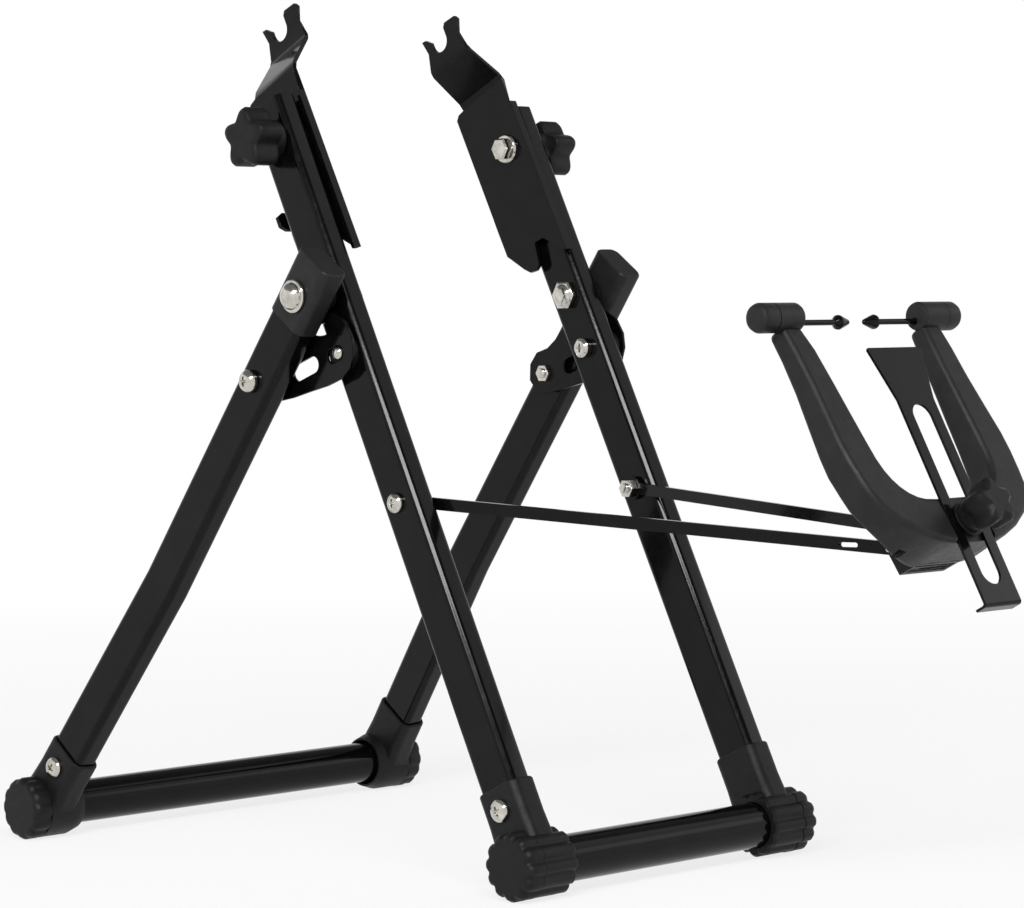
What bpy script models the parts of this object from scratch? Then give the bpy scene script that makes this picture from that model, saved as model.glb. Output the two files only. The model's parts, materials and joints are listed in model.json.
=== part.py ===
"""Wheel truing stand: a folding steel A-frame with reversible hub dropouts and a rim caliper.

Driving dimensions are in millimetres and meshes in metres. X runs across the stand, Y from the
caliper in front to the rear foot, and Z up. Heights and depths are worked out from the axis of the
front cross tube, and MIDDLE_Y shifts everything so that the origin lies on the floor in the middle
of the stand's box. Paired pieces are built for the +X side and mirrored for the other one.
"""
import math

import bmesh
import bpy
from mathutils import Matrix, Vector

MM = 0.001
GAP = 0.3
DOME_STEPS = 3
MIDDLE_Y = 63.32

# Tubes
TUBE_WIDTH = 12.0
TUBE_DEPTH = 22.0
TUBE_WALL = 1.2
TUBE_CORNER = 3.2
CROSS_RADIUS = 10.5
CROSS_BORE = 9.0

# Feet: round barrels on the cross tubes, a socket on each for the upright or the leg
FOOT_RADIUS = 15.15
FOOT_LOBES = 12
FRONT_LOBE_DEPTH = 1.1
REAR_LOBE_DEPTH = 0.55
CAP_LENGTH = 9.2
SOCKET_WALL = 1.6
SOCKET_HEIGHT = 35.5
SOCKET_SCREW_AT = 25.0
FRONT_BARREL = (65.0, 85.0)
REAR_BARREL = (97.5, 118.3)
REAR_TUBE_Y = 306.7

# Uprights
UPRIGHT_X = 77.35
UPRIGHT_LEAN = math.radians(26.07)
UPRIGHT_FOOT_Y = 2.2
UPRIGHT_TOP = 374.7
UPRIGHT_START = 11.8

# Rear legs: they splay a little from the hinge and more below the bend
HINGE = Vector((0.0, 123.0, 262.3))
LEG_RISE = 0.746
LEG_INNER_X = 90.6
LEG_SPLAY_UPPER = 0.021
LEG_SPLAY_LOWER = 0.105
LEG_BEND_Z = 127.5
LEG_ABOVE_HINGE = 19.0
LEG_CAP_WALL = 0.6
LEG_CAP_BELOW = 14.0

# Lock brackets and their screws
BRACKET_X = (87.4, 89.0)
LOCK = Vector((0.0, 110.5, 236.6))
LEG_SCREW_Z = 224.0
LEG_SCREW_BEHIND = 2.9

# Dropout plates, in the upright's own directions from their bolt
DROPOUT_AT = 356.2
SHEET = 2.0
WEB_X = 66.8
FORK_X = 51.0
FLANGE_X = 71.0
TAB_X = 75.5
JOGGLE = (33.5, 50.0)
NOTCH_RADIUS = 5.5
NOTCH_V = 3.8
NOTCH_FACE_TOP = -36.0

# Caliper arms and caliper
ARM_PIVOT = Vector((0.0, 78.8, 169.3))
ARM_HEIGHT = 5.4
ARM_SHEET = 2.0
ARM_INNER_X = 70.0
ARM_END = Vector((30.2, -160.0, 155.2))
ARM_EYE = 2.7
CALIPER_TOP = Vector((0.0, -129.0, 236.2))
CALIPER_LEAN = math.radians(33.8)
BASE_ARC_CENTRE = 22.5
BASE_ARC_RADIUS = 73.1
NOSE_HALF = 14.6
NOSE_BACK = -33.0
BOSS_AT = (-16.8, -1.5)
BOSS_RADIUS = 6.3
BOSS_X = (39.4, 55.2)
POINTER_AT = (-15.4, -3.2)
POINTER_TIP = 4.0

# Rim gauge plate, its bolt and knob
GAUGE_LEAN = math.radians(28.3)
GAUGE_BOLT = Vector((0.0, -175.9, 166.33))
GAUGE_SHEET = 1.2
GAUGE_HALF = 11.9
GAUGE_SLOT = 5.85
GAUGE_BOLT_SEAT = -32.0
GAUGE_WASHER = 0.8


def clear_scene():
    for old in list(bpy.data.objects):
        bpy.data.objects.remove(old, do_unlink=True)


def make_look(name, colour, roughness, metallic=0.0):
    look = bpy.data.materials.new(name)
    look.use_nodes = True
    shader = look.node_tree.nodes["Principled BSDF"]
    shader.inputs["Base Color"].default_value = (*colour, 1.0)
    shader.inputs["Roughness"].default_value = roughness
    shader.inputs["Metallic"].default_value = metallic
    return look


def frame(origin, x_axis, y_axis, z_axis):
    """Matrix whose local x, y and z run along the three given directions."""
    turned = Matrix((x_axis, y_axis, z_axis)).transposed().to_4x4()
    return Matrix.Translation(origin) @ turned


def across(origin):
    """Local x runs along Y, local y along Z and local z along X."""
    return frame(origin, Vector((0, 1, 0)), Vector((0, 0, 1)), Vector((1, 0, 0)))


def upright_frame():
    """From the foot of the upright: x across, y to the rear, z up along the tube."""
    sine = math.sin(UPRIGHT_LEAN)
    cosine = math.cos(UPRIGHT_LEAN)
    origin = Vector((UPRIGHT_X, UPRIGHT_FOOT_Y, FOOT_RADIUS))
    return frame(origin, Vector((1, 0, 0)), Vector((0, cosine, -sine)), Vector((0, sine, cosine)))


def leg_centre(height):
    """Centre of the rear leg's section at a height."""
    drop = HINGE.z - height
    upper = min(drop, HINGE.z - LEG_BEND_Z)
    lower = max(0.0, LEG_BEND_Z - height)
    x = LEG_INNER_X + TUBE_WIDTH / 2 + LEG_SPLAY_UPPER * upper + LEG_SPLAY_LOWER * lower
    return Vector((x, HINGE.y + LEG_RISE * drop, height))


def leg_frame(height, above=1.0):
    """At a height on the leg: x across, y to the rear, z up along the tube."""
    up = (leg_centre(height + above) - leg_centre(height)).normalized()
    if above < 0:
        up = -up
    side = Vector((1, 0, 0))
    side = (side - side.dot(up) * up).normalized()
    return frame(leg_centre(height), side, up.cross(side), up)


def caliper_frame():
    """Local x across, y down the caliper's face and z out of its face, towards the front."""
    sine = math.sin(CALIPER_LEAN)
    cosine = math.cos(CALIPER_LEAN)
    down = Vector((0, -sine, -cosine))
    front = Vector((0, -cosine, sine))
    return frame(CALIPER_TOP, Vector((-1, 0, 0)), down, front)


def gauge_frame():
    """From the gauge bolt: x across, y up the plate, z out of its face, towards the front."""
    sine = math.sin(GAUGE_LEAN)
    cosine = math.cos(GAUGE_LEAN)
    return frame(GAUGE_BOLT, Vector((1, 0, 0)), Vector((0, sine, cosine)), Vector((0, -cosine, sine)))


def arc(centre, radius, start, end, steps):
    """Points of an arc in degrees, ends included."""
    points = []
    for step in range(steps + 1):
        angle = math.radians(start + (end - start) * step / steps)
        points.append((centre[0] + radius * math.cos(angle), centre[1] + radius * math.sin(angle)))
    return points


def rounded_rectangle(width, depth, corner, steps=2):
    """Outline of a rectangle with round corners, centred on the origin."""
    x = width / 2 - corner
    y = depth / 2 - corner
    points = []
    for start, centre in ((0, (x, y)), (90, (-x, y)), (180, (-x, -y)), (270, (x, -y))):
        points += arc(centre, corner, start, start + 90, steps)
    return points


def lobed_outline(radius, depth, lobes, per_lobe=3, turn=0.0):
    """Round outline whose radius swells once for each lobe."""
    count = lobes * per_lobe
    points = []
    for step in range(count):
        angle = 2 * math.pi * step / count
        reach = radius - depth * (1 - math.cos(lobes * angle)) / 2
        angle += math.radians(turn)
        points.append((reach * math.cos(angle), reach * math.sin(angle)))
    return points


def scaled(outline, factor):
    return [(factor * x, factor * y) for x, y in outline]


def skin(bm, rings):
    """Closed skin over a row of rings with equal numbers of points."""
    loops = [[bm.verts.new(point) for point in ring] for ring in rings]
    for low, high in zip(loops, loops[1:]):
        for index in range(len(low)):
            after = (index + 1) % len(low)
            bm.faces.new((low[index], low[after], high[after], high[index]))
    bm.faces.new(list(reversed(loops[0])))
    bm.faces.new(loops[-1])


def stack(bm, place, levels):
    """Skin over flat outlines, each given with its height along local z."""
    rings = []
    for outline, height in levels:
        rings.append([place @ Vector((x, y, height)) for x, y in outline])
    skin(bm, rings)


def prism(bm, place, outline, low, high):
    """Outline extruded along local z."""
    corners = [bm.verts.new((x, y, low)) for x, y in outline]
    face = bm.faces.new(corners)
    grown = bmesh.ops.extrude_face_region(bm, geom=[face])
    raised = [item for item in grown["geom"] if isinstance(item, bmesh.types.BMVert)]
    bmesh.ops.translate(bm, vec=(0, 0, high - low), verts=raised)
    bmesh.ops.transform(bm, matrix=place, verts=corners + raised)


def lathe(bm, place, profile, segments):
    """Profile of (radius, height) points spun about local z; it closes on itself or on the axis."""
    points = [bm.verts.new((radius, 0, height)) for radius, height in profile]
    edges = [bm.edges.new(pair) for pair in zip(points, points[1:])]
    if profile[0][0] > 0:
        edges.append(bm.edges.new((points[-1], points[0])))
    known = set(bm.verts) - set(points)
    bmesh.ops.spin(bm, geom=points + edges, cent=(0, 0, 0), axis=(0, 0, 1), angle=2 * math.pi,
                   steps=segments, use_merge=True)
    made = [vert for vert in bm.verts if vert not in known]
    bmesh.ops.remove_doubles(bm, verts=made, dist=0.0005)
    made = [vert for vert in bm.verts if vert not in known]
    bmesh.ops.transform(bm, matrix=place, verts=made)


def rod(bm, place, radius, low, high, segments=10):
    lathe(bm, place, [(0, low), (radius, low), (radius, high), (0, high)], segments)


def ring(bm, place, bore, radius, low, high, segments=16):
    lathe(bm, place, [(bore, low), (radius, low), (radius, high), (bore, high)], segments)


def domed(radius, height, base):
    """Profile of a button head from its rim at base to its crown on the axis."""
    points = []
    for step in range(DOME_STEPS):
        angle = math.pi / 2 * step / DOME_STEPS
        points.append((radius * math.cos(angle), base + height * math.sin(angle)))
    return points + [(0, base + height)]


def button_screw(bm, place, head_radius, head_height, shank_radius, tip, segments=12):
    """Round-headed screw: the head stands on local z = 0 and the shank runs down to the tip."""
    rim = 0.25 * head_height
    profile = [(0, tip), (shank_radius - 0.4, tip), (shank_radius, tip + 0.4), (shank_radius, 0)]
    profile += [(head_radius, 0)] + domed(head_radius, head_height - rim, rim)
    lathe(bm, place, profile, segments)


def mirrored_pair(bm):
    """Adds the -X twin of everything in the mesh."""
    twin = bmesh.ops.duplicate(bm, geom=bm.verts[:] + bm.edges[:] + bm.faces[:])
    verts = [item for item in twin["geom"] if isinstance(item, bmesh.types.BMVert)]
    bmesh.ops.transform(bm, matrix=Matrix.Diagonal((-1, 1, 1, 1)), verts=verts)


def finish_mesh(name, bm, side):
    """Mesh data in metres, moved to the stand's middle, with faces pointing out."""
    bmesh.ops.transform(bm, matrix=Matrix.Diagonal((side, 1, 1, 1)), verts=bm.verts)
    bmesh.ops.translate(bm, vec=(0, -MIDDLE_Y, 0), verts=bm.verts)
    bmesh.ops.scale(bm, vec=(MM, MM, MM), verts=bm.verts)
    bmesh.ops.recalc_face_normals(bm, faces=bm.faces)
    mesh = bpy.data.meshes.new(name)
    bm.to_mesh(mesh)
    bm.free()
    return mesh


def add(name, bm, look, body=None, side=1):
    """One named piece; a piece of a moving body hangs on the empty on that body's axis."""
    mesh = finish_mesh(name, bm, side)
    mesh.materials.append(look)
    mesh.shade_smooth()
    mesh.set_sharp_from_angle(angle=math.radians(35))
    piece = bpy.data.objects.new(name, mesh)
    bpy.context.collection.objects.link(piece)
    if body:
        piece.parent = body
        piece.matrix_parent_inverse = Matrix.Translation(-body.location)
    return piece


def combine(piece, bm, operation, side=1):
    """Boolean on a piece with a helper solid that isn't part of the model."""
    kind = {"DIFFERENCE": "cutter", "UNION": "addition"}[operation]
    name = f"{piece.name}_{kind}_{len(piece.modifiers)}"
    helper = bpy.data.objects.new(name, finish_mesh(name, bm, side))
    bpy.context.collection.objects.link(helper)
    helper.hide_render = True
    helper.display_type = "WIRE"
    step = piece.modifiers.new(name, "BOOLEAN")
    step.operation = operation
    step.solver = "EXACT"
    step.object = helper


def soften(piece, width, angle=40, segments=2):
    """Rounds the sharp edges of a moulded piece."""
    bevel = piece.modifiers.new("softened edges", "BEVEL")
    bevel.width = width * MM
    bevel.segments = segments
    bevel.limit_method = "ANGLE"
    bevel.angle_limit = math.radians(angle)
    bevel.harden_normals = False


def axis_empty(name, place):
    """Empty on a joint's axis, which carries the pieces of that body."""
    marker = bpy.data.objects.new(name, None)
    marker.location = (place + Vector((0, -MIDDLE_Y, 0))) * MM
    marker.empty_display_size = 10 * MM
    bpy.context.collection.objects.link(marker)
    return marker


def side_name(side):
    return "left" if side < 0 else "right"


# Front frame

def make_upright(side, look):
    """Open-topped rolled tube with its bolt holes."""
    place = upright_frame()
    outer = rounded_rectangle(TUBE_WIDTH, TUBE_DEPTH, TUBE_CORNER)
    bm = bmesh.new()
    prism(bm, place, outer, UPRIGHT_START, UPRIGHT_TOP)
    tube = add(f"{side_name(side)}_upright", bm, look, side=side)
    inside = rounded_rectangle(TUBE_WIDTH - 2 * TUBE_WALL, TUBE_DEPTH - 2 * TUBE_WALL,
                               TUBE_CORNER - TUBE_WALL)
    bm = bmesh.new()
    prism(bm, place, inside, UPRIGHT_START - 5, UPRIGHT_TOP + 5)
    combine(tube, bm, "DIFFERENCE", side)
    bm = bmesh.new()
    for point, radius in ((HINGE, 4.0), (LOCK, 3.2), (ARM_PIVOT, 2.5), (dropout_bolt(), 4.0)):
        rod(bm, across(point), radius + GAP, 66, 88)
    rod(bm, sideways(place, SOCKET_SCREW_AT), 2.0 + GAP, 0, 12)
    combine(tube, bm, "DIFFERENCE", side)


def dropout_bolt():
    """Where the dropout bolt crosses the upright's centre line, seen from the side."""
    point = upright_frame() @ Vector((0, 0, DROPOUT_AT))
    return Vector((0, point.y, point.z))


def sideways(place, height):
    """At a height on a tube, local z points out of its outer face."""
    turn = Matrix(((0, 0, 1), (1, 0, 0), (0, 1, 0))).to_4x4()
    return place @ Matrix.Translation((0, 0, height)) @ turn


def make_cross_tube(name, length, y, look, body=None):
    bm = bmesh.new()
    ring(bm, across(Vector((0, y, FOOT_RADIUS))), CROSS_BORE, CROSS_RADIUS, -length, length, 24)
    add(name, bm, look, body)


def make_foot_sleeve(name, barrel, y, place, lobed, look, body, side):
    """Moulded tee: a barrel round the cross tube and a socket for the tube that stands on it.

    The front barrel is lobed all along. The rear one is plain, and flares open at its inner end.
    """
    axle = across(Vector((0, y, FOOT_RADIUS)))
    if lobed:
        wide = lobed_outline(FOOT_RADIUS - 0.25, FRONT_LOBE_DEPTH, FOOT_LOBES)
        levels = [(scaled(wide, 0.93), barrel[0]), (wide, barrel[0] + 1.6), (wide, barrel[1])]
    else:
        wide = arc((0, 0), FOOT_RADIUS - 0.25, 0, 360, 28)[:-1]
        levels = [(scaled(wide, 0.87), barrel[0]), (wide, barrel[0] + 6.0), (wide, barrel[1])]
    bm = bmesh.new()
    stack(bm, axle, levels)
    sleeve = add(name, bm, look, body, side)
    foot = rounded_rectangle(TUBE_WIDTH + 2 * SOCKET_WALL, TUBE_DEPTH + 2 * SOCKET_WALL + 2, 4.5)
    mouth = rounded_rectangle(TUBE_WIDTH + 2 * SOCKET_WALL, TUBE_DEPTH + 2 * SOCKET_WALL, 4.5)
    bm = bmesh.new()
    stack(bm, place, [(foot, 6), (mouth, 20), (mouth, SOCKET_HEIGHT - 0.8),
                      (scaled(mouth, 0.95), SOCKET_HEIGHT)])
    combine(sleeve, bm, "UNION", side)
    pocket = rounded_rectangle(TUBE_WIDTH + 2 * GAP, TUBE_DEPTH + 2 * GAP, TUBE_CORNER + GAP)
    bm = bmesh.new()
    prism(bm, place, pocket, 8, SOCKET_HEIGHT + 5)
    combine(sleeve, bm, "DIFFERENCE", side)
    bm = bmesh.new()
    bore = CROSS_RADIUS + GAP
    mouth_bore = bore if lobed else bore + 1.2
    lathe(bm, axle, [(0, barrel[0] - 1), (mouth_bore, barrel[0] - 1), (mouth_bore, barrel[0]),
                     (bore, barrel[0] + 3), (bore, barrel[1] + 5), (0, barrel[1] + 5)], 24)
    combine(sleeve, bm, "DIFFERENCE", side)
    bm = bmesh.new()
    rod(bm, sideways(place, SOCKET_SCREW_AT), 2.0 + GAP, 5, 12)
    combine(sleeve, bm, "DIFFERENCE", side)


def make_end_cap(name, start, y, depth, look, body, side):
    """Lobed cap whose plug fills the end of the cross tube."""
    axle = across(Vector((0, y, FOOT_RADIUS)))
    rim = lobed_outline(FOOT_RADIUS, depth, FOOT_LOBES)
    plug = arc((0, 0), CROSS_BORE - 0.4, 0, 360, len(rim))[:-1]
    end = start + CAP_LENGTH
    bm = bmesh.new()
    stack(bm, axle, [(plug, start - 12), (plug, start), (rim, start), (rim, end - 3.0),
                     (scaled(rim, 0.93), end - 1.0), (scaled(rim, 0.8), end)])
    add(name, bm, look, body, side)


def make_socket_screw(name, place, look, body, side):
    """Pan-head screw through a socket into its tube."""
    bm = bmesh.new()
    stand_off = TUBE_WIDTH / 2 + SOCKET_WALL + GAP
    outward = sideways(place, SOCKET_SCREW_AT) @ Matrix.Translation((0, 0, stand_off))
    button_screw(bm, outward, 5.2, 2.8, 2.0, -5.6)
    add(name, bm, look, body, side)


# Hinge, lock and arm fasteners

def make_hinge_bolt(side, look):
    """Dome-headed bolt through leg and upright, with its dome nut on the inside."""
    outside = LEG_INNER_X + TUBE_WIDTH + LEG_CAP_WALL + 3 * GAP
    inside = UPRIGHT_X - TUBE_WIDTH / 2 - GAP
    crown = [(radius, inside - height) for radius, height in domed(7.4, 4.0, 1.2)]
    bm = bmesh.new()
    profile = list(reversed(crown)) + [(7.4, inside), (4.0, inside), (4.0, outside), (7.4, outside)]
    profile[-1] = (7.6, outside)
    profile += domed(7.6, 4.2, outside + 1.3)
    lathe(bm, across(HINGE), profile, 16)
    add(f"{side_name(side)}_hinge_bolt", bm, look, None, side)


def make_spacer(name, point, bore, radius, low, high, look, side):
    bm = bmesh.new()
    ring(bm, across(point), bore + GAP, radius, low, high)
    add(name, bm, look, None, side)


def make_spacers(side, look):
    """Spacers between upright and leg, upright and bracket, and upright and dropout plate."""
    name = side_name(side)
    inner = UPRIGHT_X - TUBE_WIDTH / 2 - GAP
    outer = UPRIGHT_X + TUBE_WIDTH / 2 + GAP
    make_spacer(f"{name}_hinge_spacer", HINGE, 4.0, 6.4, outer,
                LEG_INNER_X - LEG_CAP_WALL - 2 * GAP, look, side)
    make_spacer(f"{name}_lock_spacer", LOCK, 3.2, 8.2, outer, BRACKET_X[0] - GAP, look, side)
    make_spacer(f"{name}_dropout_spacer", dropout_bolt(), 4.0, 7.5, WEB_X + SHEET + GAP, inner, look,
                side)


def nutted_screw(bm, place, outside, inside, head, shank_radius, across_flats, nut_height):
    """Round-headed screw standing on outside, with a six-sided nut below inside."""
    head_radius, head_height = head
    nut = across_flats / 2 / math.cos(math.pi / 6)
    low = inside - nut_height
    profile = [(0, low - 1.2), (shank_radius - 0.4, low - 1.2), (shank_radius, low - 0.8),
               (shank_radius, inside), (shank_radius, outside), (head_radius, outside)]
    profile += domed(head_radius, 0.75 * head_height, outside + 0.25 * head_height)
    lathe(bm, place, profile, 12)
    hexagon = [(nut * math.cos(math.radians(60 * k)), nut * math.sin(math.radians(60 * k)))
               for k in range(6)]
    body = bmesh.new()
    stack(body, place, [(scaled(hexagon, 0.94), low), (hexagon, low + 0.5), (hexagon, inside)])
    return body


def make_arm_bolt(side, look):
    """Screw and nut that the caliper arm swings on."""
    outside = UPRIGHT_X + TUBE_WIDTH / 2 + GAP
    inside = ARM_INNER_X - ARM_SHEET / 2 - GAP
    bm = bmesh.new()
    nut = nutted_screw(bm, across(ARM_PIVOT), outside, inside, (4.6, 3.2), 2.5, 8.0, 4.0)
    bolt = add(f"{side_name(side)}_arm_bolt", bm, look, None, side)
    combine(bolt, nut, "UNION", side)


def make_lock_screw(side, look, body):
    """Screw that is drawn inwards to free the bracket; its rounded tip shows behind it."""
    inner = UPRIGHT_X - TUBE_WIDTH / 2 - GAP
    tip = BRACKET_X[1] + 2.0
    bm = bmesh.new()
    profile = [(0, inner - 4.2), (3.4, inner - 4.2), (4.7, inner - 3.0), (4.7, inner), (3.2, inner),
               (3.2, tip - 2.2), (2.8, tip - 1.0), (1.8, tip - 0.3), (0, tip)]
    lathe(bm, across(LOCK), profile, 20)
    add(f"{side_name(side)}_lock_screw", bm, look, body, side)


# Rear frame

def make_rear_leg(side, look, body):
    """Tube swept down the leg's line, with a gentle bend where the splay grows."""
    section = rounded_rectangle(TUBE_WIDTH, TUBE_DEPTH, TUBE_CORNER)
    inside = rounded_rectangle(TUBE_WIDTH - 2 * TUBE_WALL, TUBE_DEPTH - 2 * TUBE_WALL,
                               TUBE_CORNER - TUBE_WALL)
    top = HINGE.z + LEG_ABOVE_HINGE * leg_frame(200).col[2].z
    foot = FOOT_RADIUS + UPRIGHT_START * leg_frame(50).col[2].z
    stations = [(foot, leg_frame(50)), (LEG_BEND_Z - 6, leg_frame(50)), (LEG_BEND_Z, None),
                (LEG_BEND_Z + 6, leg_frame(200)), (top, leg_frame(200))]

    def rings(outline, extra):
        made = []
        for index, (height, turned) in enumerate(stations):
            if turned is None:
                turned = leg_frame(LEG_BEND_Z - 6, 12)
            shift = {0: -extra, len(stations) - 1: extra}.get(index, 0)
            place = turned.to_3x3().to_4x4()
            place.translation = leg_centre(height) + shift * turned.col[2].to_3d()
            made.append([place @ Vector((x, y, 0)) for x, y in outline])
        return made

    bm = bmesh.new()
    skin(bm, rings(section, 0))
    leg = add(f"{side_name(side)}_rear_leg", bm, look, body, side)
    bm = bmesh.new()
    skin(bm, rings(inside, 4))
    combine(leg, bm, "DIFFERENCE", side)
    bm = bmesh.new()
    rod(bm, across(HINGE), 4.0 + GAP, 84, 110)
    rod(bm, across(leg_screw_point()), 2.5 + GAP, 84, 110)
    rod(bm, sideways(foot_of_leg(), SOCKET_SCREW_AT), 2.0 + GAP, 0, 12)
    combine(leg, bm, "DIFFERENCE", side)


def foot_of_leg():
    return leg_frame(FOOT_RADIUS)


def leg_screw_point():
    point = leg_centre(LEG_SCREW_Z)
    return Vector((0, point.y + LEG_SCREW_BEHIND, point.z))


def make_leg_cap(side, look, body):
    """Moulded sock over the top end of the leg, which the hinge bolt holds on."""
    place = leg_frame(HINGE.z - 1)
    place.translation = leg_centre(HINGE.z)
    grow = 2 * (GAP + LEG_CAP_WALL)
    outer = rounded_rectangle(TUBE_WIDTH + grow, TUBE_DEPTH + grow, TUBE_CORNER + grow / 2)
    end = LEG_ABOVE_HINGE + GAP + LEG_CAP_WALL
    bm = bmesh.new()
    stack(bm, place, [(outer, -LEG_CAP_BELOW), (outer, end - 0.8), (scaled(outer, 0.93), end)])
    cap = add(f"{side_name(side)}_leg_cap", bm, look, body, side)
    pocket = rounded_rectangle(TUBE_WIDTH + 2 * GAP, TUBE_DEPTH + 2 * GAP, TUBE_CORNER + GAP)
    bm = bmesh.new()
    prism(bm, place, pocket, -LEG_CAP_BELOW - 5, LEG_ABOVE_HINGE + GAP)
    combine(cap, bm, "DIFFERENCE", side)
    bm = bmesh.new()
    rod(bm, across(HINGE), 4.0 + GAP, 84, 110)
    combine(cap, bm, "DIFFERENCE", side)


def make_lock_bracket(side, look, body):
    """Plate between leg and upright: a short slot takes the lock screw, two windows lighten it and
    a pressed boss stands against the leg."""
    outline = [(153, 214.2), (161.0, 215.0), (165.6, 220.5), (165.2, 228.5), (160.5, 234.3),
               (153, 236.5), (147.4, 240.7), (144.3, 244.4), (133, 251), (121, 254.6), (112.8, 254.5),
               (105.6, 250.5), (101.2, 243.5), (100.4, 236.5), (102.6, 229.5), (108.2, 225),
               (118, 221.6), (130.4, 218.8), (142, 216.0)]
    bm = bmesh.new()
    prism(bm, across(Vector()), outline, *BRACKET_X)
    plate = add(f"{side_name(side)}_lock_bracket", bm, look, body, side)
    leg_face = leg_centre(LEG_SCREW_Z).x - TUBE_WIDTH / 2
    bm = bmesh.new()
    stack(bm, across(leg_screw_point()), [(arc((0, 0), 6.6, 0, 360, 24)[:-1], BRACKET_X[0] + 0.4),
                                          (arc((0, 0), 6.6, 0, 360, 24)[:-1], BRACKET_X[1]),
                                          (arc((0, 0), 5.0, 0, 360, 24)[:-1], leg_face - 1.6 * GAP)])
    combine(plate, bm, "UNION", side)

    def polar(radius, degrees):
        """Point round the hinge, in degrees to the rear of straight down."""
        angle = math.radians(degrees)
        return (HINGE.y + radius * math.sin(angle), HINGE.z - radius * math.cos(angle))

    def slot(radius, half_width, start, end, steps):
        """Curved slot round the hinge with half-round ends."""
        outer = [polar(radius + half_width, start + (end - start) * k / steps) for k in range(steps + 1)]
        inner = [polar(radius - half_width, end + (start - end) * k / steps) for k in range(steps + 1)]
        cap_end = arc(polar(radius, end), half_width, end - 90, end + 90, 6)[1:-1]
        cap_start = arc(polar(radius, start), half_width, start + 90, start + 270, 6)[1:-1]
        return outer + cap_end + inner + cap_start

    lock_way = LOCK - HINGE
    lock_radius = math.hypot(lock_way.y, lock_way.z)
    lock_angle = math.degrees(math.atan2(lock_way.y, -lock_way.z))
    bm = bmesh.new()
    prism(bm, across(Vector()), slot(lock_radius, 3.2 + GAP, lock_angle, lock_angle + 8.5, 3), 84, 92)
    prism(bm, across(Vector()), slot(15.3, 2.6, -12.0, 14.0, 4), 84, 92)
    window = arc((127.9, 231.2), 3.8, 70, 250, 6) + arc((138.0, 227.6), 3.8, -110, 70, 6)
    prism(bm, across(Vector()), window, 84, 92)
    rod(bm, across(leg_screw_point()), 2.5 + GAP, 84, 96)
    combine(plate, bm, "DIFFERENCE", side)


def make_leg_bolt(side, look, body):
    """Screw and nut that hold the bracket on the leg."""
    point = leg_screw_point()
    outside = leg_centre(point.z).x + TUBE_WIDTH / 2 + 2 * GAP
    bm = bmesh.new()
    nut = nutted_screw(bm, across(point), outside, BRACKET_X[0] - GAP, (5.4, 4.5), 2.5, 8.0, 2.2)
    bolt = add(f"{side_name(side)}_leg_bolt", bm, look, body, side)
    combine(bolt, nut, "UNION", side)


# Dropouts

def dropout_outline():
    """Flat outline of a dropout plate: u up the upright and v to the rear, from the bolt."""
    notch = arc((57.0 + NOTCH_RADIUS, NOTCH_V), NOTCH_RADIUS, 90, 270, 8)
    fork = [(JOGGLE[1], 16.6), (60.5, 13.4), (68.0, 15.0), (67.6, 12.2)]
    fork += [(64.6, NOTCH_V + NOTCH_RADIUS)] + notch
    fork += [(67.0, NOTCH_V - NOTCH_RADIUS), (68.9, -3.4), (68.4, -11.0), (66.2, -12.4),
             (60.0, -9.6), (JOGGLE[1], -11.8)]
    web_top = [(JOGGLE[0] - 1.5, -12.6), (20.2, -12.9)]
    foot = [(-62.9, -14.3), (-62.0, -12.0), (-50.6, -2.4)]
    foot += arc((-52.6, 1.4), 3.1, 40, 60, 1)
    foot += [(-54.0, 4.5), (-61.4, 6.0), (-62.8, 9.0), (-62.0, 13.0), (-58.7, 16.1), (-47.5, 24.0)]
    back = [(-35.0, 24.3), (-26.0, 24.3), (29.5, 25.0), (31.6, 22.6), (JOGGLE[0] - 1.5, 18.6)]
    return fork + web_top + foot + back


def make_dropout_plate(side, look, body):
    """Folded sheet: a web on the upright, a fork joggled inwards, a flange and a stop tab."""
    place = upright_frame()
    bolt = dropout_bolt()
    up = place.col[2].to_3d()
    rear = place.col[1].to_3d()
    bm = bmesh.new()
    bm.faces.new([bm.verts.new((u, v, 0)) for u, v in dropout_outline()])
    bends = ((JOGGLE[0] - 1.5, 0.0), (JOGGLE[0] + 1.5, 0.09), (JOGGLE[1] - 1.5, 0.91),
             (JOGGLE[1] + 1.5, 1.0))
    for u in [NOTCH_FACE_TOP] + [bend[0] for bend in bends]:
        bmesh.ops.bisect_plane(bm, geom=bm.verts[:] + bm.edges[:] + bm.faces[:],
                               plane_co=(u, 0, 0), plane_no=(1, 0, 0), dist=0.01)
    fold_out(bm, lambda u, v: v < -12.8 and u < 20.3, FLANGE_X - WEB_X, 0)
    for reach, taper in ((TAB_X - WEB_X - 3.2, 0), (3.2, 2.0)):
        fold_out(bm, lambda u, v: v > 24.25 and -35.1 < u < -25.9, reach, taper)
    for vert in bm.verts:
        u, v, out = vert.co
        shift = joggle_shift(u, bends)
        spot = bolt + u * up + v * rear
        vert.co = Vector((WEB_X + out - shift, spot.y, spot.z))
    thicken(bm)
    plate = add(f"{side_name(side)}_dropout_plate", bm, look, body, side)
    bm = bmesh.new()
    rod(bm, across(bolt), 4.0 + GAP, WEB_X - 5, WEB_X + 5, 20)
    combine(plate, bm, "DIFFERENCE", side)
    return plate


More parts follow.
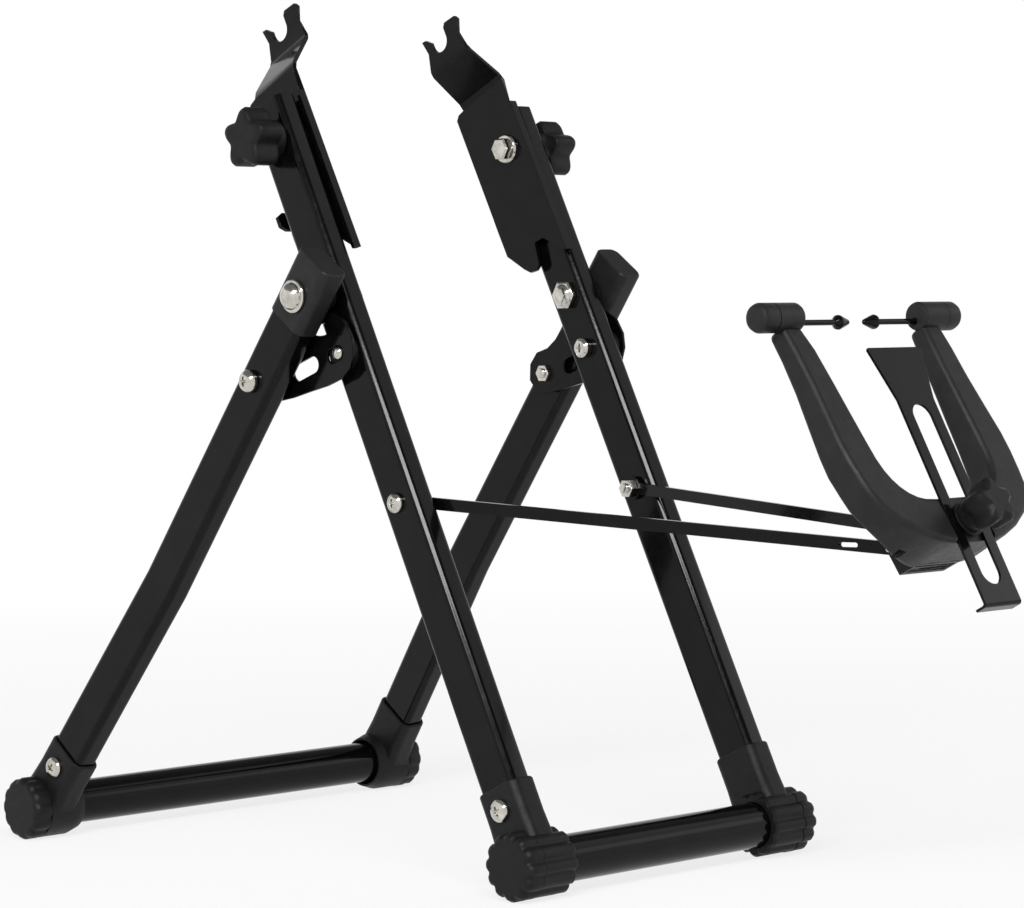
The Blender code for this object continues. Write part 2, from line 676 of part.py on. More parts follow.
def fold_out(bm, on_edge, reach, taper):
    """Folds the free edges for which on_edge(u, v) holds at both ends outwards by reach."""
    top = max(vert.co.z for vert in bm.verts if on_edge(vert.co.x, vert.co.y))
    edges = []
    for edge in bm.edges:
        if edge.is_boundary and all(on_edge(v.co.x, v.co.y) and v.co.z == top for v in edge.verts):
            edges.append(edge)
    grown = bmesh.ops.extrude_edge_only(bm, edges=edges)
    lip = [item for item in grown["geom"] if isinstance(item, bmesh.types.BMVert)]
    bmesh.ops.translate(bm, vec=(0, 0, reach), verts=lip)
    middle = sum(vert.co.x for vert in lip) / len(lip)
    for vert in lip:
        vert.co.x -= math.copysign(taper, vert.co.x - middle)


def joggle_shift(u, bends):
    """How far the sheet stands inwards of the web at a height."""
    depth = WEB_X - FORK_X
    if u <= bends[0][0]:
        return 0.0
    for (low, before), (high, after) in zip(bends, bends[1:]):
        if u <= high:
            return depth * (before + (after - before) * (u - low) / (high - low))
    return depth


def thicken(bm):
    """Gives the folded surface the sheet's thickness, towards the outside of the stand."""
    bmesh.ops.recalc_face_normals(bm, faces=bm.faces)
    web = max(bm.faces, key=lambda face: face.calc_area())
    if web.normal.x < 0:
        bmesh.ops.reverse_faces(bm, faces=bm.faces)
    bmesh.ops.solidify(bm, geom=bm.faces[:], thickness=-SHEET)


def make_dropout_bolt(side, look, body):
    """Flanged hexagon head on the plate, shank through the upright into the knob."""
    low = WEB_X - GAP
    bm = bmesh.new()
    lathe(bm, across(dropout_bolt()),
          [(0, low - 5.4), (4.2, low - 5.4), (5.2, low - 4.8), (5.2, low - 1.6), (6.6, low - 1.4),
           (7.2, low - 0.5), (7.2, low), (4.0, low), (4.0, 98.5), (0, 98.5)], 18)
    add(f"{side_name(side)}_dropout_bolt", bm, look, body, side)


def make_star_knob(name, place, hub, lobes, radius, depth, length, bore, bore_depth, turn, look, body,
                   side=1):
    """Star knob standing on local z = 0: a round hub, then the lobed grip with a domed face."""
    hub_radius, hub_height = hub
    grip = lobed_outline(radius, depth, lobes, 6, turn)
    count = len(grip)
    circle = arc((0, 0), 1.0, turn, 360 + turn, count)[:-1]
    bm = bmesh.new()
    stack(bm, place, [(scaled(circle, hub_radius), 0), (scaled(circle, hub_radius), hub_height),
                      (scaled(grip, 0.93), hub_height), (grip, hub_height + 2.0),
                      (grip, length - 3.0), (scaled(grip, 0.93), length - 1.2),
                      (scaled(grip, 0.72), length)])
    knob = add(name, bm, look, body, side)
    bm = bmesh.new()
    rod(bm, place, bore + GAP, -5, bore_depth, 16)
    combine(knob, bm, "DIFFERENCE", side)


# Arms and caliper

def make_arm(side, look, body):
    """Flat bar on edge: parallel to the upright at its screw, then straight in to the caliper."""
    bend_y = ARM_PIVOT.y - 7.0
    slope = (ARM_INNER_X - ARM_END.x) / (bend_y - ARM_END.y)
    half = ARM_SHEET / 2
    rear = ARM_PIVOT.y + 5.5
    front = ARM_END.y
    path = [(rear, ARM_INNER_X), (bend_y + 1.2, ARM_INNER_X), (bend_y - 1.2, ARM_INNER_X - 1.2 * slope),
            (front, ARM_END.x + slope * (front - ARM_END.y))]
    fall = (ARM_PIVOT.z - ARM_END.z) / (ARM_PIVOT.y - ARM_END.y)
    outline = [(y, x + half) for y, x in path] + [(y, x - half) for y, x in reversed(path)]
    upward = frame(Vector(), Vector((0, 1, 0)), Vector((1, 0, 0)), Vector((0, 0, 1)))
    bm = bmesh.new()
    prism(bm, upward, outline, -ARM_HEIGHT / 2, ARM_HEIGHT / 2)
    for vert in bm.verts:
        vert.co.z += ARM_PIVOT.z + fall * (vert.co.y - ARM_PIVOT.y)
    arm = add(f"{side_name(side)}_arm", bm, look, body, side)
    eye = ARM_INNER_X
    bm = bmesh.new()
    rod(bm, across(ARM_PIVOT), 5.6, eye - half, eye + half, 20)
    combine(arm, bm, "UNION", side)
    bm = bmesh.new()
    rod(bm, across(Vector((0, ARM_END.y, ARM_END.z))), ARM_EYE, ARM_END.x - half, ARM_END.x + half, 16)
    combine(arm, bm, "UNION", side)
    bm = bmesh.new()
    rod(bm, across(ARM_PIVOT), 2.5 + GAP, eye - 5, eye + 5)
    rod(bm, across(Vector((0, ARM_END.y, ARM_END.z))), 1.6 + GAP, 20, 40, 12)
    slot_front = -144.5
    slot_rear = -137.5
    slot_z = ARM_PIVOT.z + fall * (slot_front - ARM_PIVOT.y)
    slot = arc((slot_rear, slot_z), 1.0, -90, 90, 4) + arc((slot_front, slot_z), 1.0, 90, 270, 4)
    prism(bm, across(Vector()), slot, 24, 44)
    combine(arm, bm, "DIFFERENCE", side)


def caliper_sections():
    """Sections of the caliper's right half from the top of its arm to the middle of its base.

    Each section lists x, depth down the face and height out of it for its inner front, outer front,
    outer back and inner back corners.
    """
    rows = []
    for down, inner, outer, front, back in ((-13, 40.2, 51.8, -0.6, -10.0), (0, 38.2, 52.0, 0, -10.2),
                                             (15, 37.4, 52.2, 0, -11.4), (30, 36.8, 53.2, 0, -12.9),
                                             (44, 36.2, 54.3, 0, -14.1)):
        rows.append(((inner, down, front), (outer, down, front), (outer, down, back), (inner, down, back)))
    rim = [(54.0, 53.0), (52.7, 63.0), (51.5, 69.5), (48.3, 75.8)]
    for x in (41.8, 32.0, 22.0, NOSE_HALF):
        rim.append((x, BASE_ARC_CENTRE + math.sqrt(BASE_ARC_RADIUS ** 2 - x ** 2)))
    for step, (x, down) in enumerate(rim, 1):
        angle = math.pi / 2 * step / len(rim)
        inner = (12 + 24 * math.cos(angle) ** 0.82, 46 + 26.9 * math.sin(angle) ** 0.82)
        deep = -15 - 0.4 * max(0, 45 - x)
        rows.append(((*inner, 0), (x, down, 0), (x, min(down, 90.95), deep), (*inner, deep)))
    return rows


def make_caliper(look, body):
    """Moulded U: two arms with a boss on each, and a thick base that takes the arms and the gauge."""
    place = caliper_frame()
    half = caliper_sections()
    bm = bmesh.new()
    left = [[place @ Vector((-x, down, out)) for x, down, out in row] for row in half]
    right = [[place @ Vector((x, down, out)) for x, down, out in row] for row in reversed(half)]
    skin(bm, left + right)
    caliper = add("caliper_body", bm, look, body)
    soften(caliper, 2.2)
    bm = bmesh.new()
    sideview = frame(CALIPER_TOP, place.col[1].to_3d(), place.col[2].to_3d(), Vector((-1, 0, 0)))
    prism(bm, sideview, [(76, -20), (76, NOSE_BACK), (90.2, NOSE_BACK), (91.8, -20)], -NOSE_HALF, NOSE_HALF)
    combine(caliper, bm, "UNION")
    bm = bmesh.new()
    boss = frame(place @ Vector((0, *BOSS_AT)), Vector((0, 1, 0)), Vector((0, 0, 1)), Vector((1, 0, 0)))
    inner, outer = BOSS_X
    lathe(bm, boss, [(0, inner), (BOSS_RADIUS - 1.6, inner), (BOSS_RADIUS - 0.5, inner + 0.5),
                     (BOSS_RADIUS, inner + 1.6), (BOSS_RADIUS, outer), (0, outer)], 20)
    mirrored_pair(bm)
    combine(caliper, bm, "UNION")
    bm = bmesh.new()
    pointer = across(Vector((0, *pointer_axis())))
    rod(bm, pointer, 1.25 + GAP, inner - 8, outer + 5, 12)
    ends = across(Vector((0, ARM_END.y, ARM_END.z)))
    rod(bm, ends, 1.6 + GAP, 19.4, 30, 12)
    mirrored_pair(bm)
    combine(caliper, bm, "DIFFERENCE")
    bm = bmesh.new()
    for sign in (-1, 1):
        corners = [(28.6, 70), (32.3, 70), (32.3, 95), (28.6, 95)]
        prism(bm, place, [(sign * x, down) for x, down in corners], -34, -14.3)
    combine(caliper, bm, "DIFFERENCE")
    bm = bmesh.new()
    gauge = gauge_frame()
    wide = GAUGE_HALF + 0.5
    seat = [(-wide, -40), (wide, -40), (wide, 40), (-wide, 40)]
    prism(bm, gauge, seat, -GAUGE_SHEET - GAP, 12)
    combine(caliper, bm, "DIFFERENCE")
    bm = bmesh.new()
    lathe(bm, gauge, [(0, -44), (7.4, -44), (7.4, GAUGE_BOLT_SEAT), (3.8 + GAP, GAUGE_BOLT_SEAT),
                      (3.8 + GAP, 12), (0, 12)], 20)
    combine(caliper, bm, "DIFFERENCE")


def pointer_axis():
    """Y and Z of the line that both pointers lie on."""
    point = caliper_frame() @ Vector((0, *POINTER_AT))
    return point.y, point.z


def make_caliper_pin(side, look, body):
    """Pin that joins an arm's end to the caliper's base."""
    bm = bmesh.new()
    rod(bm, across(Vector((0, ARM_END.y, ARM_END.z))), 1.6, 20.0, 31.9, 12)
    add(f"{side_name(side)}_caliper_pin", bm, look, body, side)


def make_pointer(side, look, body):
    """Thin rod with a cone-shaped head that feels for the rim."""
    bm = bmesh.new()
    lathe(bm, across(Vector((0, *pointer_axis()))),
          [(0, POINTER_TIP), (1.2, POINTER_TIP + 1.5), (3.15, POINTER_TIP + 7.4),
           (3.0, POINTER_TIP + 8.4), (1.25, POINTER_TIP + 10.4), (1.25, 60.0), (0, 60.0)], 16)
    add(f"{side_name(side)}_pointer", bm, look, body, side)


def make_pointer_knob(side, look, body):
    """Plain round knob on the outer end of the pointer."""
    start = BOSS_X[1] + GAP
    y, z = pointer_axis()
    boss = caliper_frame() @ Vector((0, *BOSS_AT))
    centre = Vector((0, boss.y, boss.z))
    bm = bmesh.new()
    lathe(bm, across(centre), [(0, start), (BOSS_RADIUS - 0.2, start), (BOSS_RADIUS, start + 0.4),
                               (BOSS_RADIUS, start + 6.8), (BOSS_RADIUS - 0.7, start + 8.4),
                               (BOSS_RADIUS - 2.4, start + 9.3), (0, start + 9.3)], 20)
    knob = add(f"{side_name(side)}_pointer_knob", bm, look, body, side)
    bm = bmesh.new()
    rod(bm, across(Vector((0, y, z))), 1.25 + GAP, start - 5, 60.6, 12)
    combine(knob, bm, "DIFFERENCE", side)


def make_gauge_plate(look, body):
    """Slotted plate with a flared head and a short foot folded to the back."""
    place = gauge_frame()
    head = 79.8
    flare = 55.4
    foot = -37.6
    half = GAUGE_HALF
    outline = [(-half, foot), (half, foot), (half, flare), (17.5, head - 1.0), (16.8, head),
               (-16.8, head), (-17.5, head - 1.0), (-half, flare)]
    bm = bmesh.new()
    prism(bm, place, outline, -GAUGE_SHEET, 0)
    plate = add("gauge_plate", bm, look, body)
    fold = frame(place @ Vector((0, foot + 0.1, 0)), place.col[2].to_3d(), place.col[1].to_3d(),
                 -place.col[0].to_3d())
    bm = bmesh.new()
    lip = [(0, 0.2)] + arc((-1.6, 0), 1.6, 0, -90, 3) + [(-6.0, -1.6), (-6.0, -0.4), (-1.8, -0.4),
                                                         (-GAUGE_SHEET, 0.2)]
    prism(bm, fold, lip, -half, half)
    combine(plate, bm, "UNION")
    bm = bmesh.new()
    low, high, half = -29.6, 53.1, GAUGE_SLOT
    slot = arc((0, high - half), half, 0, 180, 8) + arc((0, low + half), half, 180, 360, 8)
    prism(bm, place, slot, -6, 4)
    combine(plate, bm, "DIFFERENCE")


def make_gauge_bolt(look, body):
    """Hexagon head at the back of the base, shank through the plate's slot into the knob."""
    place = gauge_frame()
    bm = bmesh.new()
    back = GAUGE_BOLT_SEAT - GAP
    lathe(bm, place, [(0, back - 5.0), (5.8, back - 5.0), (6.5, back - 4.4), (6.5, back), (3.8, back),
                      (3.8, 13.6), (0, 13.6)], 6 * 4)
    add("gauge_bolt", bm, look, body)


def make_gauge_washer(look, body):
    bm = bmesh.new()
    ring(bm, gauge_frame(), 3.8 + GAP, 8.0, GAP, GAP + GAUGE_WASHER)
    add("gauge_washer", bm, look, body)


def main():
    clear_scene()
    powder = make_look("black powder coat", (0.012, 0.012, 0.013), 0.38)
    plastic = make_look("black plastic", (0.020, 0.020, 0.021), 0.55)
    moulded = make_look("dark grey moulding", (0.028, 0.028, 0.029), 0.5)
    chrome = make_look("bright plating", (0.75, 0.74, 0.71), 0.22, 1.0)

    fold = axis_empty("rear_frame_axis", HINGE)
    swing = axis_empty("arms_axis", ARM_PIVOT)
    tilt = axis_empty("caliper_axis", Vector((0, ARM_END.y, ARM_END.z)))
    gauge = axis_empty("gauge_axis", GAUGE_BOLT)
    gauge_turn = axis_empty("gauge_knob_axis", GAUGE_BOLT)
    bolt = dropout_bolt()

    make_cross_tube("front_cross_tube", FRONT_BARREL[1] - 0.2, 0.0, powder)
    make_cross_tube("rear_cross_tube", REAR_BARREL[1] - 0.2, REAR_TUBE_Y, powder, fold)

    for side in (-1, 1):
        name = side_name(side)
        bolt_place = Vector((side * UPRIGHT_X, bolt.y, bolt.z))
        make_upright(side, powder)
        make_hinge_bolt(side, chrome)
        make_spacers(side, plastic)
        make_arm_bolt(side, chrome)
        make_leg_bolt(side, chrome, fold)
        make_socket_screw(f"{name}_front_socket_screw", upright_frame(), chrome, None, side)
        make_socket_screw(f"{name}_rear_socket_screw", foot_of_leg(), chrome, fold, side)
        make_foot_sleeve(f"{name}_front_foot", FRONT_BARREL, 0.0, upright_frame(), True, plastic,
                         None, side)
        make_end_cap(f"{name}_front_end_cap", FRONT_BARREL[1] + GAP, 0.0, FRONT_LOBE_DEPTH, plastic,
                     None, side)
        make_rear_leg(side, powder, fold)
        make_foot_sleeve(f"{name}_rear_foot", REAR_BARREL, REAR_TUBE_Y, foot_of_leg(), False, plastic,
                         fold, side)
        make_end_cap(f"{name}_rear_end_cap", REAR_BARREL[1] + GAP, REAR_TUBE_Y, REAR_LOBE_DEPTH,
                     plastic, fold, side)
        make_leg_cap(side, moulded, fold)
        make_lock_bracket(side, powder, fold)
        pull = axis_empty(f"{name}_lock_axis", Vector((side * UPRIGHT_X, LOCK.y, LOCK.z)))
        make_lock_screw(side, chrome, pull)
        flip = axis_empty(f"{name}_dropout_axis", bolt_place)
        make_dropout_plate(side, powder, flip)
        make_dropout_bolt(side, chrome, None)
        spin = axis_empty(f"{name}_dropout_knob_axis", bolt_place)
        knob_seat = UPRIGHT_X + TUBE_WIDTH / 2 + GAP
        make_star_knob(f"{name}_dropout_knob", across(Vector((knob_seat, bolt.y, bolt.z))), (9.0, 5.2), 5,
                       14.6, 4.4, 19.8, 4.0, 16.0, 90, plastic, spin, side)
        make_arm(side, powder, swing)
        make_caliper_pin(side, chrome, tilt)
        slide = axis_empty(f"{name}_pointer_axis", Vector((side * POINTER_TIP, *pointer_axis())))
        make_pointer(side, powder, slide)
        make_pointer_knob(side, moulded, slide)

    make_caliper(moulded, tilt)
    make_gauge_bolt(chrome, tilt)
    make_gauge_plate(powder, gauge)
    make_gauge_washer(plastic, gauge_turn)
    knob_place = gauge_frame() @ Matrix.Translation((0, 0, GAUGE_WASHER + 2 * GAP))
    make_star_knob("gauge_knob", knob_place, (6.6, 5.6), 5, 10.8, 3.2, 17.0, 3.8, 12.6, 90, plastic,
                   gauge_turn)


main()
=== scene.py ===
"""Looks for the wheel truing stand: finer shapes, materials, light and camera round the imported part.

Each piece is made again from the part's own measurements in finer steps, with the small details
that the solids leave out, and stands for the CAD node of its name. Up to finish_mesh, shapes are
drawn in millimetres and pairs on the +X side.
"""
import json
import math

import bmesh
import bpy
from mathutils import Matrix, Vector

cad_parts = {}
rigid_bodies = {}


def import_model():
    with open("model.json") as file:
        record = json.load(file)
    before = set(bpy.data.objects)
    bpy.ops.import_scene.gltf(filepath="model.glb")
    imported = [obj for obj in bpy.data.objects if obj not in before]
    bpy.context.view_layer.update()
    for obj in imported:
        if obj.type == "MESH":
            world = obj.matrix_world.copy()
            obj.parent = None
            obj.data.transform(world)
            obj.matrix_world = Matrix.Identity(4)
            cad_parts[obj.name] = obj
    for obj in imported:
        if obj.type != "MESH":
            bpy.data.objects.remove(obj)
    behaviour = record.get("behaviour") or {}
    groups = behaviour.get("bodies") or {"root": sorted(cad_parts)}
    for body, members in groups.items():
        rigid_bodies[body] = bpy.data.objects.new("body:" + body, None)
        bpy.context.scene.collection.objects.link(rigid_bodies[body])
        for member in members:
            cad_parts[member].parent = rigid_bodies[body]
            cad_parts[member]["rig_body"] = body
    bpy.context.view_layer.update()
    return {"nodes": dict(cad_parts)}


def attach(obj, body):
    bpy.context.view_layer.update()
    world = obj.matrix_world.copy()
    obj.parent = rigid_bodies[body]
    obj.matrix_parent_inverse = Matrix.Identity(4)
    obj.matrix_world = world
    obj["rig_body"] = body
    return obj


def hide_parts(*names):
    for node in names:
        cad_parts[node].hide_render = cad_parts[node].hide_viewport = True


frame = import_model()
PIECES = {}
HELPERS = []

MM = 0.001
GAP = 0.3
DOME_STEPS = 8
FINE = 3
MIDDLE_Y = 63.32

# Tubes
TUBE_WIDTH = 12.0
TUBE_DEPTH = 22.0
TUBE_WALL = 1.2
TUBE_CORNER = 3.2
CROSS_RADIUS = 10.5
CROSS_BORE = 9.0

# Fasteners: radii of the shanks, and for the heads their radius, height and size of cross recess
HINGE_SHANK = 4.0
LOCK_SHANK = 3.2
SMALL_SHANK = 2.5
SOCKET_SHANK = 2.0
DROPOUT_SHANK = 4.0
GAUGE_SHANK = 3.8
PIN_RADIUS = 1.6
POINTER_RADIUS = 1.25
ARM_BOLT_HEAD = (4.6, 3.2, 2.4)
LEG_BOLT_HEAD = (5.4, 4.5, 2.8)
SOCKET_SCREW_HEAD = (5.2, 2.8, 2.6)
LOCK_SCREW_HEAD = (4.7, 4.2, 2.4)
NUT_FLATS = 8.0
ARM_NUT_HEIGHT = 4.0
LEG_NUT_HEIGHT = 2.2

# Feet: round barrels on the cross tubes, a socket on each for the upright or the leg
FOOT_RADIUS = 15.15
BARREL_INSET = 0.25
FOOT_LOBES = 12
FRONT_LOBE_DEPTH = 1.1
REAR_LOBE_DEPTH = 0.55
GROOVE_DEEPER = 1.4
CAP_LENGTH = 9.2
SOCKET_WALL = 1.6
SOCKET_CORNER = 4.5
SOCKET_HEIGHT = 35.5
SOCKET_SCREW_AT = 25.0
FRONT_BARREL = (65.0, 85.0)
REAR_BARREL = (97.5, 118.3)
REAR_TUBE_Y = 306.7

# Uprights; their faces are given with the gap to the next piece
UPRIGHT_X = 77.35
UPRIGHT_INNER = UPRIGHT_X - TUBE_WIDTH / 2 - GAP
UPRIGHT_OUTER = UPRIGHT_X + TUBE_WIDTH / 2 + GAP
UPRIGHT_LEAN = math.radians(26.07)
UPRIGHT_FOOT_Y = 2.2
UPRIGHT_TOP = 374.7
UPRIGHT_START = 11.8

# Rear legs: they splay a little from the hinge and more below the bend
HINGE = Vector((0.0, 123.0, 262.3))
LEG_RISE = 0.746
LEG_INNER_X = 90.6
LEG_SPLAY_UPPER = 0.021
LEG_SPLAY_LOWER = 0.105
LEG_BEND_Z = 127.5
LEG_BEND_HALF = 6
LEG_ABOVE_BEND = 200
LEG_BELOW_BEND = 50
LEG_ABOVE_HINGE = 19.0
LEG_CAP_WALL = 0.6
LEG_CAP_BELOW = 14.0

# Lock brackets and their screws
BRACKET_X = (87.4, 89.0)
LOCK = Vector((0.0, 110.5, 236.6))
LOCK_SLOT_DEGREES = 8.5
LEG_SCREW_Z = 224.0
LEG_SCREW_BEHIND = 2.9

# X ranges of the cutters that go right through a part
THROUGH_UPRIGHT = (66, 88)
THROUGH_LEG = (84, 110)
THROUGH_BRACKET = (84, 92)

# Dropout plates, in the upright's own directions from their bolt
DROPOUT_AT = 356.2
DROPOUT_BOLT_END = 98.5
SHEET = 2.0
WEB_X = 66.8
FORK_X = 51.0
FLANGE_X = 71.0
TAB_X = 75.5
JOGGLE = (33.5, 50.0)
WEB_SPLIT = -36.0
BENDS = ((JOGGLE[0] - 1.5, 0.0), (JOGGLE[0] + 1.5, 0.09), (JOGGLE[1] - 1.5, 0.91),
         (JOGGLE[1] + 1.5, 1.0))
NOTCH_RADIUS = 5.5
NOTCH_U = 57.0
NOTCH_V = 3.8

# Caliper arms and caliper
ARM_PIVOT = Vector((0.0, 78.8, 169.3))
ARM_HEIGHT = 5.4
ARM_SHEET = 2.0
ARM_INNER_X = 70.0
ARM_END = Vector((30.2, -160.0, 155.2))
PIN_AT = Vector((0.0, ARM_END.y, ARM_END.z))
PIVOT_EYE = 5.6
PIN_EYE = 2.7
ARM_SLOT = (-144.5, -137.5)
CALIPER_TOP = Vector((0.0, -129.0, 236.2))
CALIPER_LEAN = math.radians(33.8)
CALIPER_SOFT = 2.6
BASE_ARC_CENTRE = 22.5
BASE_ARC_RADIUS = 73.1
NOSE_HALF = 14.6
NOSE_BACK = -33.0
NOSE_FRONT = -20
NOSE_BOTTOM = 90.2
RIB_PITCH = 2.6
BOSS_AT = (-16.8, -1.5)
BOSS_RADIUS = 6.3
BOSS_X = (39.4, 55.2)
POINTER_AT = (-15.4, -3.2)
POINTER_TIP = 4.0
POINTER_END = 60.0

# Rim gauge plate, its bolt and knob
GAUGE_LEAN = math.radians(28.3)
GAUGE_BOLT = Vector((0.0, -175.9, 166.33))
GAUGE_SHEET = 1.2
GAUGE_HALF = 11.9
GAUGE_SLOT = 5.85
GAUGE_HEAD = 79.8
GAUGE_FLARE = 55.4
GAUGE_FOOT = -37.6
GAUGE_BOLT_SEAT = -32.0
GAUGE_WASHER = 0.8

# Star knobs
KNOB_LOBES = 5
KNOB_TURN = 90

# Widths of the fine bevels, for pieces that have their own
EDGE_WIDTH = {"dropout_plate": 0.35, "lock_bracket": 0.3, "gauge_plate": 0.3, "caliper_body": 0.3}
USUAL_EDGE = 0.25

# Darkest and lightest base colours
POWDER_BLACK = ((0.0012, 0.0012, 0.0013), (0.0028, 0.0028, 0.0029))
PLASTIC_BLACK = ((0.0050, 0.0050, 0.0052), (0.0085, 0.0085, 0.0088))
MOULDED_GREY = ((0.0110, 0.0110, 0.0114), (0.0160, 0.0160, 0.0165))
ZINC = ((0.44, 0.42, 0.38), (0.66, 0.64, 0.59))

# Stage: the floor keeps the stand's shadow up to SHADOW_REACH and is plain white from WHITE_FROM
STAGE_RADIUS = 4.0
WALL_RADIUS = 3.9
WALL_TOP = 2.2
SHADOW_REACH = 0.4
WHITE_FROM = 1.6
ROOM_STRENGTH = 0.22
KEY_WATTS = 110
SIDE_WATTS = 14

# Camera that was fitted to the photograph: azimuth, elevation and roll in degrees
CAMERA_AIM = (45.5554, -2.1940, -0.7868)
CAMERA_AT = Vector((-1.07135, -1.06582, 0.24660))
CAMERA_LENS = 115.36


# Frames

def frame_of(origin, x_axis, y_axis, z_axis):
    """Matrix whose local x, y and z run along the three given directions."""
    turned = Matrix((x_axis, y_axis, z_axis)).transposed().to_4x4()
    return Matrix.Translation(origin) @ turned


def across(origin):
    """Local x runs along Y, local y along Z and local z along X."""
    return frame_of(origin, Vector((0, 1, 0)), Vector((0, 0, 1)), Vector((1, 0, 0)))


def axle(y):
    """Along a cross tube."""
    return across(Vector((0, y, FOOT_RADIUS)))


def upright_frame():
    """From the foot of the upright: x across, y to the rear, z up along the tube."""
    sine = math.sin(UPRIGHT_LEAN)
    cosine = math.cos(UPRIGHT_LEAN)
    origin = Vector((UPRIGHT_X, UPRIGHT_FOOT_Y, FOOT_RADIUS))
    return frame_of(origin, Vector((1, 0, 0)), Vector((0, cosine, -sine)), Vector((0, sine, cosine)))


def leg_centre(height):
    """Centre of the rear leg's section at a height."""
    drop = HINGE.z - height
    upper = min(drop, HINGE.z - LEG_BEND_Z)
    lower = max(0.0, LEG_BEND_Z - height)
    x = LEG_INNER_X + TUBE_WIDTH / 2 + LEG_SPLAY_UPPER * upper + LEG_SPLAY_LOWER * lower
    return Vector((x, HINGE.y + LEG_RISE * drop, height))


def leg_frame(height, above=1.0):
    """At a height on the leg: x across, y to the rear, z up along the tube."""
    up = (leg_centre(height + above) - leg_centre(height)).normalized()
    side = Vector((1, 0, 0))
    side = (side - side.dot(up) * up).normalized()
    return frame_of(leg_centre(height), side, up.cross(side), up)


def foot_of_leg():
    return leg_frame(FOOT_RADIUS)


def leg_screw_point():
    point = leg_centre(LEG_SCREW_Z)
    return Vector((0, point.y + LEG_SCREW_BEHIND, point.z))


def dropout_bolt():
    """Where the dropout bolt crosses the upright's centre line, seen from the side."""
    point = upright_frame() @ Vector((0, 0, DROPOUT_AT))
    return Vector((0, point.y, point.z))


def sideways(place, height):
    """At a height on a tube, local z points out of its outer face."""
    turn = Matrix(((0, 0, 1), (1, 0, 0), (0, 1, 0))).to_4x4()
    return place @ Matrix.Translation((0, 0, height)) @ turn


def caliper_frame():
    """Local x across, y down the caliper's face and z out of its face, towards the front."""
    sine = math.sin(CALIPER_LEAN)
    cosine = math.cos(CALIPER_LEAN)
    down = Vector((0, -sine, -cosine))
    front = Vector((0, -cosine, sine))
    return frame_of(CALIPER_TOP, Vector((-1, 0, 0)), down, front)


def across_caliper(spot):
    """Local z along X, through a spot given as depth down the caliper's face and height out of it."""
    return across(caliper_frame() @ Vector((0, *spot)))


def gauge_frame():
    """From the gauge bolt: x across, y up the plate, z out of its face, towards the front."""
    sine = math.sin(GAUGE_LEAN)
    cosine = math.cos(GAUGE_LEAN)
    return frame_of(GAUGE_BOLT, Vector((1, 0, 0)), Vector((0, sine, cosine)), Vector((0, -cosine, sine)))


# Outlines

def arc(centre, radius, start, end, steps):
    """Points of an arc in degrees, ends included."""
    points = []
    for step in range(steps + 1):
        angle = math.radians(start + (end - start) * step / steps)
        points.append((centre[0] + radius * math.cos(angle), centre[1] + radius * math.sin(angle)))
    return points


def circle(radius, steps, turn=0):
    return arc((0, 0), radius, turn, 360 + turn, steps)[:-1]


def rounded_rectangle(width, depth, corner, steps=7):
    """Outline of a rectangle with round corners, centred on the origin."""
    x = width / 2 - corner
    y = depth / 2 - corner
    points = []
    for start, centre in ((0, (x, y)), (90, (-x, y)), (180, (-x, -y)), (270, (x, -y))):
        points += arc(centre, corner, start, start + 90, steps)
    return points


def tube_outline(grow=0.0):
    """The uprights' and legs' section, with every face moved out by grow."""
    return rounded_rectangle(TUBE_WIDTH + 2 * grow, TUBE_DEPTH + 2 * grow, TUBE_CORNER + grow)


def lobed_outline(radius, depth, lobes, per_lobe=12, turn=0.0, narrow=1):
    """Round outline whose radius swells once for each lobe; narrow makes the grooves slimmer."""
    count = lobes * per_lobe
    points = []
    for step in range(count):
        angle = 2 * math.pi * step / count
        reach = radius - depth * ((1 - math.cos(lobes * angle)) / 2) ** narrow
        angle += math.radians(turn)
        points.append((reach * math.cos(angle), reach * math.sin(angle)))
    return points


def scaled(outline, factor):
    return [(factor * x, factor * y) for x, y in outline]


def domed(radius, height, base):
    """Profile of a button head from its rim at base to its crown on the axis."""
    points = []
    for step in range(DOME_STEPS):
        angle = math.pi / 2 * step / DOME_STEPS
        points.append((radius * math.cos(angle), base + height * math.sin(angle)))
    return points + [(0, base + height)]


# Solids

def skin(bm, rings):
    """Closed skin over a row of rings with equal numbers of points."""
    loops = [[bm.verts.new(point) for point in ring] for ring in rings]
    for low, high in zip(loops, loops[1:]):
        for index in range(len(low)):
            after = (index + 1) % len(low)
            bm.faces.new((low[index], low[after], high[after], high[index]))
    bm.faces.new(list(reversed(loops[0])))
    bm.faces.new(loops[-1])


def stack(bm, place, levels):
    """Skin over flat outlines, each given with its height along local z."""
    rings = []
    for outline, height in levels:
        rings.append([place @ Vector((x, y, height)) for x, y in outline])
    skin(bm, rings)


def prism(bm, place, outline, low, high):
    """Outline extruded along local z."""
    corners = [bm.verts.new((x, y, low)) for x, y in outline]
    face = bm.faces.new(corners)
    grown = bmesh.ops.extrude_face_region(bm, geom=[face])
    raised = [item for item in grown["geom"] if isinstance(item, bmesh.types.BMVert)]
    bmesh.ops.translate(bm, vec=(0, 0, high - low), verts=raised)
    bmesh.ops.transform(bm, matrix=place, verts=corners + raised)


